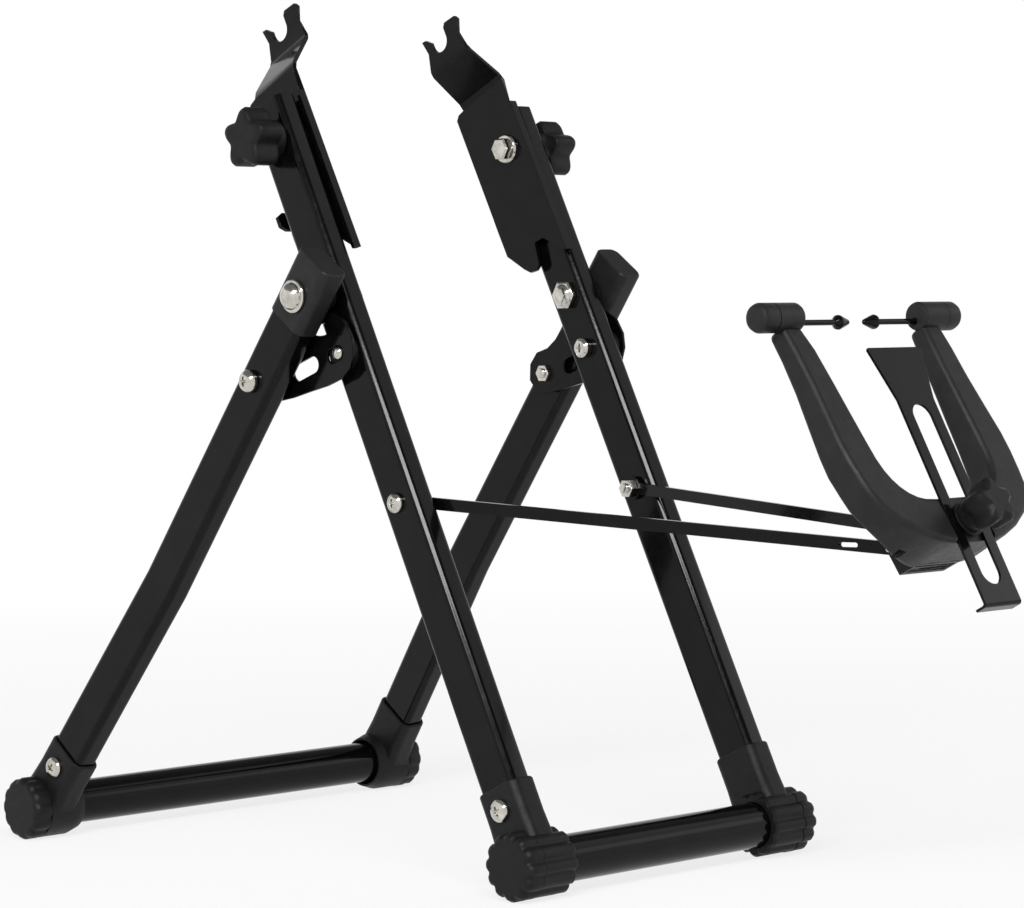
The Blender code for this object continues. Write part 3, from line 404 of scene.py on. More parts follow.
def lathe(bm, place, profile, segments):
    """Profile of (radius, height) points spun about local z; it closes on itself or on the axis."""
    points = [bm.verts.new((radius, 0, height)) for radius, height in profile]
    edges = [bm.edges.new(pair) for pair in zip(points, points[1:])]
    if profile[0][0] > 0:
        edges.append(bm.edges.new((points[-1], points[0])))
    known = set(bm.verts) - set(points)
    bmesh.ops.spin(bm, geom=points + edges, cent=(0, 0, 0), axis=(0, 0, 1), angle=2 * math.pi,
                   steps=FINE * segments, use_merge=True)
    made = [vert for vert in bm.verts if vert not in known]
    bmesh.ops.remove_doubles(bm, verts=made, dist=0.0005)
    made = [vert for vert in bm.verts if vert not in known]
    bmesh.ops.transform(bm, matrix=place, verts=made)


def rod(bm, place, radius, low, high, segments=10):
    lathe(bm, place, [(0, low), (radius, low), (radius, high), (0, high)], segments)


def ring(bm, place, bore, radius, low, high, segments=16):
    lathe(bm, place, [(bore, low), (radius, low), (radius, high), (bore, high)], segments)


def solid(make, *shape):
    """Mesh of one shape, made by skin, stack, prism, lathe, rod or ring."""
    bm = bmesh.new()
    make(bm, *shape)
    return bm


def mirrored_pair(bm):
    """Adds the -X twin of everything in the mesh."""
    twin = bmesh.ops.duplicate(bm, geom=bm.verts[:] + bm.edges[:] + bm.faces[:])
    verts = [item for item in twin["geom"] if isinstance(item, bmesh.types.BMVert)]
    bmesh.ops.transform(bm, matrix=Matrix.Diagonal((-1, 1, 1, 1)), verts=verts)


# Pieces

def finish_mesh(name, bm, side):
    """Mesh data in metres, moved to the stand's middle, with faces pointing out."""
    bmesh.ops.transform(bm, matrix=Matrix.Diagonal((side or 1, 1, 1, 1)), verts=bm.verts)
    bmesh.ops.translate(bm, vec=(0, -MIDDLE_Y, 0), verts=bm.verts)
    bmesh.ops.scale(bm, vec=(MM, MM, MM), verts=bm.verts)
    bmesh.ops.recalc_face_normals(bm, faces=bm.faces)
    mesh = bpy.data.meshes.new(name)
    bm.to_mesh(mesh)
    bm.free()
    return mesh


def add(name, bm, look, side=0):
    """One piece, which stands for the CAD node of its name, in the material that look names.

    side is -1 for a left piece, 1 for a right one and 0 for a single one.
    """
    name = {-1: "left_", 0: "", 1: "right_"}[side] + name
    mesh = finish_mesh(name + "_finish", bm, side)
    piece = bpy.data.objects.new(name + "_finish", mesh)
    bpy.context.collection.objects.link(piece)
    piece["look"] = look
    PIECES[name] = piece
    return piece


def combine(piece, bm, operation, side):
    """Boolean on a piece with a helper solid that isn't part of the model."""
    name = f"{piece.name}_{len(piece.modifiers)}"
    helper = bpy.data.objects.new(name, finish_mesh(name, bm, side))
    bpy.context.collection.objects.link(helper)
    step = piece.modifiers.new(name, "BOOLEAN")
    step.operation = operation
    step.solver = "EXACT"
    step.object = helper
    HELPERS.append(helper)


def join(piece, bm, side=0):
    combine(piece, bm, "UNION", side)


def cut(piece, bm, side=0):
    combine(piece, bm, "DIFFERENCE", side)


def drill(piece, side, *holes):
    """Round holes a gap wider than their fasteners: place, radius, both ends, perhaps segments."""
    bm = bmesh.new()
    for place, radius, low, high, *segments in holes:
        rod(bm, place, radius + GAP, low, high, *segments)
    cut(piece, bm, side)


def cut_cross(screw, place, crown, reach, side):
    """Cross-shaped recess in the crown of a screw head."""
    half = reach / 4
    spots = [(half, half), (half, reach), (-half, reach)]
    cross = []
    for _ in range(4):
        cross += spots
        spots = [(-y, x) for x, y in spots]
    levels = [(scaled(cross, 0.55), crown - 0.65 * reach), (cross, crown + 0.5)]
    cut(screw, solid(stack, place, levels), side)


def soften(piece, name, width, segments, degrees):
    """Rounds the edges at which the faces turn by more than an angle."""
    bevel = piece.modifiers.new(name, "BEVEL")
    bevel.width = width * MM
    bevel.segments = segments
    bevel.limit_method = "ANGLE"
    bevel.angle_limit = math.radians(degrees)
    return bevel


# Front frame and feet

def make_upright(side):
    """Open-topped rolled tube with its bolt holes."""
    place = upright_frame()
    tube = add("upright",
               solid(prism, place, tube_outline(), UPRIGHT_START, UPRIGHT_TOP), "powder", side)
    cut(tube, solid(prism, place, tube_outline(-TUBE_WALL), UPRIGHT_START - 5, UPRIGHT_TOP + 5), side)
    drill(tube, side, (across(HINGE), HINGE_SHANK, *THROUGH_UPRIGHT),
          (across(LOCK), LOCK_SHANK, *THROUGH_UPRIGHT),
          (across(ARM_PIVOT), SMALL_SHANK, *THROUGH_UPRIGHT),
          (across(dropout_bolt()), DROPOUT_SHANK, *THROUGH_UPRIGHT),
          (sideways(place, SOCKET_SCREW_AT), SOCKET_SHANK, 0, 12))


def make_cross_tube(name, length, y):
    add(name, solid(ring, axle(y), CROSS_BORE, CROSS_RADIUS, -length, length, 24), "powder")


def make_foot_sleeve(name, barrel, y, place, lobed, side):
    """Moulded tee: a barrel round the cross tube and a socket for the tube that stands on it.

    The front barrel is lobed all along. The rear one is plain, and flares open at its inner end.
    """
    start, end = barrel
    bore = CROSS_RADIUS + GAP
    radius = FOOT_RADIUS - BARREL_INSET
    if lobed:
        wide = lobed_outline(radius, GROOVE_DEEPER * FRONT_LOBE_DEPTH, FOOT_LOBES, narrow=2)
        levels = [(scaled(wide, 0.93), start), (wide, start + 1.6), (wide, end)]
        mouth_bore = bore
    else:
        wide = circle(radius, 96)
        levels = [(scaled(wide, 0.87), start), (wide, start + 6.0), (wide, end)]
        mouth_bore = bore + 1.2
    sleeve = add(name, solid(stack, axle(y), levels), "plastic", side)
    width = TUBE_WIDTH + 2 * SOCKET_WALL
    depth = TUBE_DEPTH + 2 * SOCKET_WALL
    foot = rounded_rectangle(width, depth + 2, SOCKET_CORNER)
    mouth = rounded_rectangle(width, depth, SOCKET_CORNER)
    levels = [(foot, 6), (mouth, 20), (mouth, SOCKET_HEIGHT - 0.8), (scaled(mouth, 0.95), SOCKET_HEIGHT)]
    join(sleeve, solid(stack, place, levels), side)
    cut(sleeve, solid(prism, place, tube_outline(GAP), 8, SOCKET_HEIGHT + 5), side)
    profile = [(0, start - 1), (mouth_bore, start - 1), (mouth_bore, start), (bore, start + 3),
               (bore, end + 5), (0, end + 5)]
    cut(sleeve, solid(lathe, axle(y), profile, 24), side)
    drill(sleeve, side, (sideways(place, SOCKET_SCREW_AT), SOCKET_SHANK, 5, 12))


def make_end_cap(name, start, y, depth, side):
    """Lobed cap whose plug fills the end of the cross tube."""
    rim = lobed_outline(FOOT_RADIUS, GROOVE_DEEPER * depth, FOOT_LOBES, narrow=2)
    plug = circle(CROSS_BORE - 0.4, len(rim))
    end = start + CAP_LENGTH
    levels = [(plug, start - 12), (plug, start), (rim, start), (rim, end - 3.0),
              (scaled(rim, 0.93), end - 1.0), (scaled(rim, 0.8), end)]
    add(name, solid(stack, axle(y), levels), "plastic", side)


def make_socket_screw(name, place, side):
    """Pan-head screw through a socket into its tube."""
    stand_off = TUBE_WIDTH / 2 + SOCKET_WALL + GAP
    outward = sideways(place, SOCKET_SCREW_AT) @ Matrix.Translation((0, 0, stand_off))
    radius, height, recess = SOCKET_SCREW_HEAD
    rim = 0.25 * height
    tip = -5.6
    profile = [(0, tip), (SOCKET_SHANK - 0.4, tip), (SOCKET_SHANK, tip + 0.4), (SOCKET_SHANK, 0)]
    profile += [(radius, 0)] + domed(radius, height - rim, rim)
    screw = add(name, solid(lathe, outward, profile, 12), "chrome", side)
    cut_cross(screw, outward, height, recess, side)


# Hinge, lock and arm fasteners

def make_hinge_bolt(side):
    """Flanged dome-headed bolt through leg and upright, with its dome nut on the inside."""
    outside = LEG_INNER_X + TUBE_WIDTH + LEG_CAP_WALL + 3 * GAP
    inside = UPRIGHT_INNER
    crown = [(radius, inside - height) for radius, height in domed(5.4, 2.5, 2.7)]
    profile = list(reversed(crown)) + [(5.4, inside), (HINGE_SHANK, inside), (HINGE_SHANK, outside)]
    profile += [(7.6, outside), (7.6, outside + 0.9), (7.2, outside + 1.3), (6.3, outside + 1.4)]
    profile += domed(6.2, 4.0, outside + 1.5)
    bolt = add("hinge_bolt", solid(lathe, across(HINGE), profile, 16), "chrome", side)
    nut = circle(7.3, 6)
    levels = [(scaled(nut, 0.88), inside - 3.1), (nut, inside - 2.5), (nut, inside)]
    join(bolt, solid(stack, across(HINGE), levels), side)


def make_spacers(side):
    """Spacers between upright and leg, upright and bracket, and upright and dropout plate."""
    for name, point, bore, radius, low, high in (
            ("hinge", HINGE, HINGE_SHANK, 6.4, UPRIGHT_OUTER, LEG_INNER_X - LEG_CAP_WALL - 2 * GAP),
            ("lock", LOCK, LOCK_SHANK, 8.2, UPRIGHT_OUTER, BRACKET_X[0] - GAP),
            ("dropout", dropout_bolt(), DROPOUT_SHANK, 7.5, WEB_X + SHEET + GAP, UPRIGHT_INNER)):
        bm = solid(ring, across(point), bore + GAP, radius, low, high)
        add(name + "_spacer", bm, "plastic", side)


def make_nutted_screw(name, point, outside, inside, head, nut_height, side):
    """Round-headed screw standing on outside, with a six-sided nut below inside."""
    place = across(point)
    head_radius, head_height, recess = head
    nut = circle(NUT_FLATS / 2 / math.cos(math.pi / 6), 6)
    low = inside - nut_height
    profile = [(0, low - 1.2), (SMALL_SHANK - 0.4, low - 1.2), (SMALL_SHANK, low - 0.8),
               (SMALL_SHANK, inside), (SMALL_SHANK, outside), (head_radius, outside)]
    profile += domed(head_radius, 0.75 * head_height, outside + 0.25 * head_height)
    screw = add(name, solid(lathe, place, profile, 12), "chrome", side)
    levels = [(scaled(nut, 0.94), low), (nut, low + 0.5), (nut, inside)]
    join(screw, solid(stack, place, levels), side)
    cut_cross(screw, place, outside + head_height, recess, side)


def make_arm_bolt(side):
    """Screw and nut that the caliper arm swings on."""
    make_nutted_screw("arm_bolt", ARM_PIVOT, UPRIGHT_OUTER, ARM_INNER_X - ARM_SHEET / 2 - GAP,
                      ARM_BOLT_HEAD, ARM_NUT_HEIGHT, side)


def make_leg_bolt(side):
    """Screw and nut that hold the bracket on the leg."""
    point = leg_screw_point()
    make_nutted_screw("leg_bolt", point, leg_centre(point.z).x + TUBE_WIDTH / 2 + 2 * GAP,
                      BRACKET_X[0] - GAP, LEG_BOLT_HEAD, LEG_NUT_HEIGHT, side)


def make_lock_screw(side):
    """Screw that is drawn inwards to free the bracket; its rounded tip shows behind it."""
    inner = UPRIGHT_INNER
    radius, head, recess = LOCK_SCREW_HEAD
    tip = BRACKET_X[1] + 2.0
    profile = [(0, inner - head), (3.4, inner - head), (radius, inner - 3.0), (radius, inner),
               (LOCK_SHANK, inner), (LOCK_SHANK, tip - 2.2), (2.8, tip - 1.0), (1.8, tip - 0.3), (0, tip)]
    screw = add("lock_screw", solid(lathe, across(LOCK), profile, 20), "chrome", side)
    inward = across(LOCK) @ Matrix.Rotation(math.pi, 4, "X")
    cut_cross(screw, inward, head - inner, recess, side)


# Rear frame

def make_rear_leg(side):
    """Tube swept down the leg's line, with a gentle bend where the splay grows."""
    upper = leg_frame(LEG_ABOVE_BEND)
    lower = leg_frame(LEG_BELOW_BEND)
    middle = leg_frame(LEG_BEND_Z - LEG_BEND_HALF, 2 * LEG_BEND_HALF)
    top = HINGE.z + LEG_ABOVE_HINGE * upper.col[2].z
    foot = FOOT_RADIUS + UPRIGHT_START * lower.col[2].z
    stations = [(foot, lower), (LEG_BEND_Z - LEG_BEND_HALF, lower), (LEG_BEND_Z, middle),
                (LEG_BEND_Z + LEG_BEND_HALF, upper), (top, upper)]

    def rings(outline, extra):
        """The outline at each station, with both ends moved out by extra."""
        made = []
        for index, (height, turned) in enumerate(stations):
            shift = {0: -extra, len(stations) - 1: extra}.get(index, 0)
            place = turned.to_3x3().to_4x4()
            place.translation = leg_centre(height) + shift * turned.col[2].to_3d()
            made.append([place @ Vector((x, y, 0)) for x, y in outline])
        return made

    leg = add("rear_leg", solid(skin, rings(tube_outline(), 0)), "powder", side)
    cut(leg, solid(skin, rings(tube_outline(-TUBE_WALL), 4)), side)
    drill(leg, side, (across(HINGE), HINGE_SHANK, *THROUGH_LEG),
          (across(leg_screw_point()), SMALL_SHANK, *THROUGH_LEG),
          (sideways(foot_of_leg(), SOCKET_SCREW_AT), SOCKET_SHANK, 0, 12))


def make_leg_cap(side):
    """Moulded sock over the top end of the leg, which the hinge bolt holds on."""
    place = leg_frame(HINGE.z - 1)
    place.translation = leg_centre(HINGE.z)
    outer = tube_outline(GAP + LEG_CAP_WALL)
    end = LEG_ABOVE_HINGE + GAP + LEG_CAP_WALL
    levels = [(outer, -LEG_CAP_BELOW), (outer, end - 0.8), (scaled(outer, 0.93), end)]
    cap = add("leg_cap", solid(stack, place, levels), "moulded", side)
    cut(cap, solid(prism, place, tube_outline(GAP), -LEG_CAP_BELOW - 5, LEG_ABOVE_HINGE + GAP), side)
    drill(cap, side, (across(HINGE), HINGE_SHANK, *THROUGH_LEG))


def hinge_slot(radius, half_width, start, end, steps):
    """Curved slot round the hinge with half-round ends, in degrees to the rear of straight down."""
    def polar(reach, degrees):
        angle = math.radians(degrees)
        return (HINGE.y + reach * math.sin(angle), HINGE.z - reach * math.cos(angle))

    outer = [polar(radius + half_width, start + (end - start) * k / steps) for k in range(steps + 1)]
    inner = [polar(radius - half_width, end + (start - end) * k / steps) for k in range(steps + 1)]
    cap_end = arc(polar(radius, end), half_width, end - 90, end + 90, 20)[1:-1]
    cap_start = arc(polar(radius, start), half_width, start + 90, start + 270, 20)[1:-1]
    return outer + cap_end + inner + cap_start


def make_lock_bracket(side):
    """Plate with a slot for the lock screw, two windows and a pressed boss against the leg."""
    view = across(Vector())
    outline = [(153, 214.2), (161.0, 215.0), (165.6, 220.5), (165.2, 228.5), (160.5, 234.3),
               (153, 236.5), (147.4, 240.7), (144.3, 244.4), (133, 251), (121, 254.6), (112.8, 254.5),
               (105.6, 250.5), (101.2, 243.5), (100.4, 236.5), (102.6, 229.5), (108.2, 225),
               (118, 221.6), (130.4, 218.8), (142, 216.0)]
    plate = add("lock_bracket", solid(prism, view, outline, *BRACKET_X), "powder", side)
    leg_face = leg_centre(LEG_SCREW_Z).x - TUBE_WIDTH / 2
    screw = across(leg_screw_point())
    wide = circle(6.6, 64)
    boss = [(wide, BRACKET_X[0] + 0.4), (wide, BRACKET_X[1]), (circle(5.0, 64), leg_face - 1.6 * GAP)]
    join(plate, solid(stack, screw, boss), side)
    lock_way = LOCK - HINGE
    lock_radius = math.hypot(lock_way.y, lock_way.z)
    lock_angle = math.degrees(math.atan2(lock_way.y, -lock_way.z))
    window = arc((127.9, 231.2), 3.8, 70, 250, 20) + arc((138.0, 227.6), 3.8, -110, 70, 20)
    bm = bmesh.new()
    for slot in (hinge_slot(lock_radius, LOCK_SHANK + GAP, lock_angle, lock_angle + LOCK_SLOT_DEGREES, 10),
                 hinge_slot(15.3, 2.6, -12.0, 14.0, 12), window):
        prism(bm, view, slot, *THROUGH_BRACKET)
    rod(bm, screw, SMALL_SHANK + GAP, 84, 96)
    cut(plate, bm, side)


# Dropouts

def dropout_outline():
    """Flat outline of a dropout plate: u up the upright and v to the rear, from the bolt."""
    notch = arc((NOTCH_U + NOTCH_RADIUS, NOTCH_V), NOTCH_RADIUS, 90, 270, 28)
    fork = [(JOGGLE[1], 16.6), (60.5, 13.4), (68.0, 15.0), (67.6, 12.2)]
    fork += [(64.6, NOTCH_V + NOTCH_RADIUS)] + notch
    fork += [(67.0, NOTCH_V - NOTCH_RADIUS), (68.9, -3.4), (68.4, -11.0), (66.2, -12.4),
             (60.0, -9.6), (JOGGLE[1], -11.8)]
    web_top = [(JOGGLE[0] - 1.5, -12.6), (20.2, -12.9)]
    foot = [(-62.9, -14.3), (-62.0, -12.0), (-50.6, -2.4)]
    foot += arc((-52.6, 1.4), 3.1, 40, 60, 1)
    foot += [(-54.0, 4.5), (-61.4, 6.0), (-62.8, 9.0), (-62.0, 13.0), (-58.7, 16.1), (-47.5, 24.0)]
    back = [(-35.0, 24.3), (-26.0, 24.3), (29.5, 25.0), (31.6, 22.6), (JOGGLE[0] - 1.5, 18.6)]
    return fork + web_top + foot + back


def make_dropout_plate(side):
    """Folded sheet: a web on the upright, a fork joggled inwards, a flange and a stop tab."""
    place = upright_frame()
    bolt = dropout_bolt()
    up = place.col[2].to_3d()
    rear = place.col[1].to_3d()
    bm = bmesh.new()
    bm.faces.new([bm.verts.new((u, v, 0)) for u, v in dropout_outline()])
    for u in [WEB_SPLIT] + [bend[0] for bend in BENDS]:
        bmesh.ops.bisect_plane(bm, geom=bm.verts[:] + bm.edges[:] + bm.faces[:],
                               plane_co=(u, 0, 0), plane_no=(1, 0, 0), dist=0.01)
    fold_out(bm, lambda u, v: v < -12.8 and u < 20.3, FLANGE_X - WEB_X, 0)
    for reach, taper in ((TAB_X - WEB_X - 3.2, 0), (3.2, 2.0)):
        fold_out(bm, lambda u, v: v > 24.25 and -35.1 < u < -25.9, reach, taper)
    for vert in bm.verts:
        u, v, out = vert.co
        spot = bolt + u * up + v * rear
        vert.co = Vector((WEB_X + out - joggle_shift(u), spot.y, spot.z))
    thicken(bm)
    plate = add("dropout_plate", bm, "powder", side)
    drill(plate, side, (across(bolt), DROPOUT_SHANK, WEB_X - 5, WEB_X + 5, 20))


def fold_out(bm, on_edge, reach, taper):
    """Folds the free edges for which on_edge(u, v) holds at both ends outwards by reach."""
    top = max(vert.co.z for vert in bm.verts if on_edge(vert.co.x, vert.co.y))
    edges = []
    for edge in bm.edges:
        if edge.is_boundary and all(on_edge(v.co.x, v.co.y) and v.co.z == top for v in edge.verts):
            edges.append(edge)
    grown = bmesh.ops.extrude_edge_only(bm, edges=edges)
    lip = [item for item in grown["geom"] if isinstance(item, bmesh.types.BMVert)]
    bmesh.ops.translate(bm, vec=(0, 0, reach), verts=lip)
    middle = sum(vert.co.x for vert in lip) / len(lip)
    for vert in lip:
        vert.co.x -= math.copysign(taper, vert.co.x - middle)


def joggle_shift(u):
    """How far the sheet stands inwards of the web at a height."""
    depth = WEB_X - FORK_X
    if u <= BENDS[0][0]:
        return 0.0
    for (low, before), (high, after) in zip(BENDS, BENDS[1:]):
        if u <= high:
            return depth * (before + (after - before) * (u - low) / (high - low))
    return depth


def thicken(bm):
    """Gives the folded surface the sheet's thickness, towards the outside of the stand."""
    bmesh.ops.recalc_face_normals(bm, faces=bm.faces)
    web = max(bm.faces, key=lambda face: face.calc_area())
    if web.normal.x < 0:
        bmesh.ops.reverse_faces(bm, faces=bm.faces)
    bmesh.ops.solidify(bm, geom=bm.faces[:], thickness=-SHEET)


def make_dropout_bolt(side):
    """Flanged hexagon head on the plate, shank through the upright into the knob."""
    low = WEB_X - GAP
    place = across(dropout_bolt())
    profile = [(0, low - 1.6), (5.2, low - 1.6), (6.6, low - 1.4), (7.2, low - 0.5), (7.2, low),
               (DROPOUT_SHANK, low), (DROPOUT_SHANK, DROPOUT_BOLT_END), (0, DROPOUT_BOLT_END)]
    bolt = add("dropout_bolt", solid(lathe, place, profile, 18), "chrome", side)
    head = circle(5.8, 6)
    levels = [(scaled(head, 0.85), low - 5.4), (head, low - 4.7), (head, low - 1.0)]
    join(bolt, solid(stack, place, levels), side)


def make_star_knob(name, place, hub, radius, depth, length, bore, bore_depth, side=0):
    """Star knob standing on local z = 0: a round hub, then the lobed grip with a domed face."""
    hub_radius, hub_height = hub
    grip = lobed_outline(radius, depth, KNOB_LOBES, 24, KNOB_TURN)
    neck = circle(hub_radius, len(grip), KNOB_TURN)
    levels = [(neck, 0), (neck, hub_height), (scaled(grip, 0.93), hub_height), (grip, hub_height + 2.0),
              (grip, length - 3.0), (scaled(grip, 0.93), length - 1.2), (scaled(grip, 0.72), length)]
    knob = add(name, solid(stack, place, levels), "plastic", side)
    drill(knob, side, (place, bore, -5, bore_depth, 16))


# Arms and caliper

def make_arm(side):
    """Flat bar on edge: parallel to the upright at its screw, then straight in to the caliper."""
    bend_y = ARM_PIVOT.y - 7.0
    slope = (ARM_INNER_X - ARM_END.x) / (bend_y - ARM_END.y)
    half = ARM_SHEET / 2
    path = [(ARM_PIVOT.y + 5.5, ARM_INNER_X), (bend_y + 1.2, ARM_INNER_X),
            (bend_y - 1.2, ARM_INNER_X - 1.2 * slope), (ARM_END.y, ARM_END.x)]
    fall = (ARM_PIVOT.z - ARM_END.z) / (ARM_PIVOT.y - ARM_END.y)
    outline = [(y, x + half) for y, x in path] + [(y, x - half) for y, x in reversed(path)]
    upward = frame_of(Vector(), Vector((0, 1, 0)), Vector((1, 0, 0)), Vector((0, 0, 1)))
    bm = solid(prism, upward, outline, -ARM_HEIGHT / 2, ARM_HEIGHT / 2)
    for vert in bm.verts:
        vert.co.z += ARM_PIVOT.z + fall * (vert.co.y - ARM_PIVOT.y)
    arm = add("arm", bm, "powder", side)
    for point, radius, x, segments in ((ARM_PIVOT, PIVOT_EYE, ARM_INNER_X, 20),
                                       (PIN_AT, PIN_EYE, ARM_END.x, 16)):
        join(arm, solid(rod, across(point), radius, x - half, x + half, segments), side)
    bm = bmesh.new()
    rod(bm, across(ARM_PIVOT), SMALL_SHANK + GAP, ARM_INNER_X - 5, ARM_INNER_X + 5)
    rod(bm, across(PIN_AT), PIN_RADIUS + GAP, 20, 40, 12)
    front, rear = ARM_SLOT
    z = ARM_PIVOT.z + fall * (front - ARM_PIVOT.y)
    slot = arc((rear, z), 1.0, -90, 90, 12) + arc((front, z), 1.0, 90, 270, 12)
    prism(bm, across(Vector()), slot, 24, 44)
    cut(arm, bm, side)


def caliper_sections():
    """Sections of the caliper's right half from the top of its arm to the middle of its base.

    Each section lists x, depth down the face and height out of it for its inner front, outer front,
    outer back and inner back corners.
    """
    rows = []
    for down, inner, outer, front, back in ((-13, 40.2, 51.8, -0.6, -10.0), (0, 38.2, 52.0, 0, -10.2),
                                             (15, 37.4, 52.2, 0, -11.4), (30, 36.8, 53.2, 0, -12.9),
                                             (44, 36.2, 54.3, 0, -14.1)):
        rows.append(((inner, down, front), (outer, down, front), (outer, down, back), (inner, down, back)))
    rim = [(54.0, 53.0), (52.7, 63.0), (51.5, 69.5), (48.3, 75.8)]
    for x in (41.8, 32.0, 22.0, NOSE_HALF):
        rim.append((x, BASE_ARC_CENTRE + math.sqrt(BASE_ARC_RADIUS ** 2 - x ** 2)))
    for step, (x, down) in enumerate(rim, 1):
        angle = math.pi / 2 * step / len(rim)
        inner = (12 + 24 * math.cos(angle) ** 0.82, 46 + 26.9 * math.sin(angle) ** 0.82)
        deep = -15 - 0.4 * max(0, 45 - x)
        rows.append(((*inner, 0), (x, down, 0), (x, min(down, 90.95), deep), (*inner, deep)))
    return rows


def make_caliper():
    """Moulded U: two arms with a boss on each, and a thick base that takes the arms and the gauge."""
    place = caliper_frame()
    half = caliper_sections()
    left = [[place @ Vector((-x, down, out)) for x, down, out in row] for row in half]
    right = [[place @ Vector((x, down, out)) for x, down, out in row] for row in reversed(half)]
    caliper = add("caliper_body", solid(skin, left + right), "moulded")
    soften(caliper, "softened edges", CALIPER_SOFT, 5, 40)
    sideview = frame_of(CALIPER_TOP, place.col[1].to_3d(), place.col[2].to_3d(), Vector((-1, 0, 0)))
    nose = [(76, NOSE_FRONT), (76, NOSE_BACK), (NOSE_BOTTOM, NOSE_BACK), (NOSE_BOTTOM + 1.6, NOSE_FRONT)]
    join(caliper, solid(prism, sideview, nose, -NOSE_HALF, NOSE_HALF))
    bm = bmesh.new()
    for rib in range(4):
        out = NOSE_BACK + 2.2 + RIB_PITCH * rib
        skin_at = NOSE_BOTTOM + 1.6 * (out - NOSE_BACK) / 13
        groove = [(skin_at - 0.6, out), (skin_at - 0.6, out + 1.0), (95, out + 1.0), (95, out)]
        prism(bm, sideview, groove, 1.4 - NOSE_HALF, NOSE_HALF - 1.4)
    cut(caliper, bm)
    inner, outer = BOSS_X
    boss = [(0, inner), (BOSS_RADIUS - 1.6, inner), (BOSS_RADIUS - 0.5, inner + 0.5),
            (BOSS_RADIUS, inner + 1.6), (BOSS_RADIUS, outer), (0, outer)]
    bm = solid(lathe, across_caliper(BOSS_AT), boss, 20)
    mirrored_pair(bm)
    join(caliper, bm)
    bm = bmesh.new()
    rod(bm, across_caliper(POINTER_AT), POINTER_RADIUS + GAP, inner - 8, outer + 5, 12)
    rod(bm, across(PIN_AT), PIN_RADIUS + GAP, 19.4, 30, 12)
    mirrored_pair(bm)
    cut(caliper, bm)
    bm = bmesh.new()
    for sign in (-1, 1):
        corners = [(28.6, 70), (32.3, 70), (32.3, 95), (28.6, 95)]
        prism(bm, place, [(sign * x, down) for x, down in corners], -34, -14.3)
    cut(caliper, bm)
    gauge = gauge_frame()
    wide = GAUGE_HALF + 0.5
    seat = [(-wide, -40), (wide, -40), (wide, 40), (-wide, 40)]
    cut(caliper, solid(prism, gauge, seat, -GAUGE_SHEET - GAP, 12))
    bore = GAUGE_SHANK + GAP
    well = [(0, -44), (7.4, -44), (7.4, GAUGE_BOLT_SEAT), (bore, GAUGE_BOLT_SEAT), (bore, 12), (0, 12)]
    cut(caliper, solid(lathe, gauge, well, 20))


def make_caliper_pin(side):
    """Pin that joins an arm's end to the caliper's base."""
    add("caliper_pin", solid(rod, across(PIN_AT), PIN_RADIUS, 20.0, 31.9, 12),
        "chrome", side)


def make_pointer(side):
    """Thin rod with a cone-shaped head that feels for the rim."""
    tip = POINTER_TIP
    profile = [(0, tip), (1.2, tip + 1.5), (3.15, tip + 7.4), (3.0, tip + 8.4),
               (POINTER_RADIUS, tip + 10.4), (POINTER_RADIUS, POINTER_END), (0, POINTER_END)]
    bm = solid(lathe, across_caliper(POINTER_AT), profile, 16)
    add("pointer", bm, "powder", side)


def make_pointer_knob(side):
    """Plain round knob on the outer end of the pointer."""
    start = BOSS_X[1] + GAP
    end = start + 9.3
    profile = [(0, start), (BOSS_RADIUS - 0.2, start), (BOSS_RADIUS, start + 0.4),
               (BOSS_RADIUS, start + 6.8), (BOSS_RADIUS - 0.7, start + 8.4),
               (BOSS_RADIUS - 2.4, end), (0, end)]
    bm = solid(lathe, across_caliper(BOSS_AT), profile, 20)
    knob = add("pointer_knob", bm, "moulded", side)
    drill(knob, side, (across_caliper(POINTER_AT), POINTER_RADIUS, start - 5, POINTER_END + 0.6, 12))


def make_gauge_plate():
    """Slotted plate with a flared head and a short foot folded to the back."""
    place = gauge_frame()
    half = GAUGE_HALF
    head = GAUGE_HEAD
    outline = [(-half, GAUGE_FOOT), (half, GAUGE_FOOT), (half, GAUGE_FLARE), (17.5, head - 1.0),
               (16.8, head), (-16.8, head), (-17.5, head - 1.0), (-half, GAUGE_FLARE)]
    plate = add("gauge_plate", solid(prism, place, outline, -GAUGE_SHEET, 0), "powder")
    fold = frame_of(place @ Vector((0, GAUGE_FOOT + 0.1, 0)), place.col[2].to_3d(),
                    place.col[1].to_3d(), -place.col[0].to_3d())
    lip = [(0, 0.2)] + arc((-1.6, 0), 1.6, 0, -90, 8)
    lip += [(-6.0, -1.6), (-6.0, -0.4), (-1.8, -0.4), (-GAUGE_SHEET, 0.2)]
    join(plate, solid(prism, fold, lip, -half, half))
    low, high, half = -29.6, 53.1, GAUGE_SLOT
    slot = arc((0, high - half), half, 0, 180, 24) + arc((0, low + half), half, 180, 360, 24)
    cut(plate, solid(prism, place, slot, -6, 4))


def make_gauge_bolt():
    """Round head at the back of the base, shank through the plate's slot into the knob."""
    back = GAUGE_BOLT_SEAT - GAP
    profile = [(0, back - 5.0), (5.8, back - 5.0), (6.5, back - 4.4), (6.5, back), (GAUGE_SHANK, back),
               (GAUGE_SHANK, 13.6), (0, 13.6)]
    add("gauge_bolt", solid(lathe, gauge_frame(), profile, 24), "chrome")


def make_gauge_washer():
    bm = solid(ring, gauge_frame(), GAUGE_SHANK + GAP, 8.0, GAP, GAP + GAUGE_WASHER)
    add("gauge_washer", bm, "plastic")


# Finishing the meshes

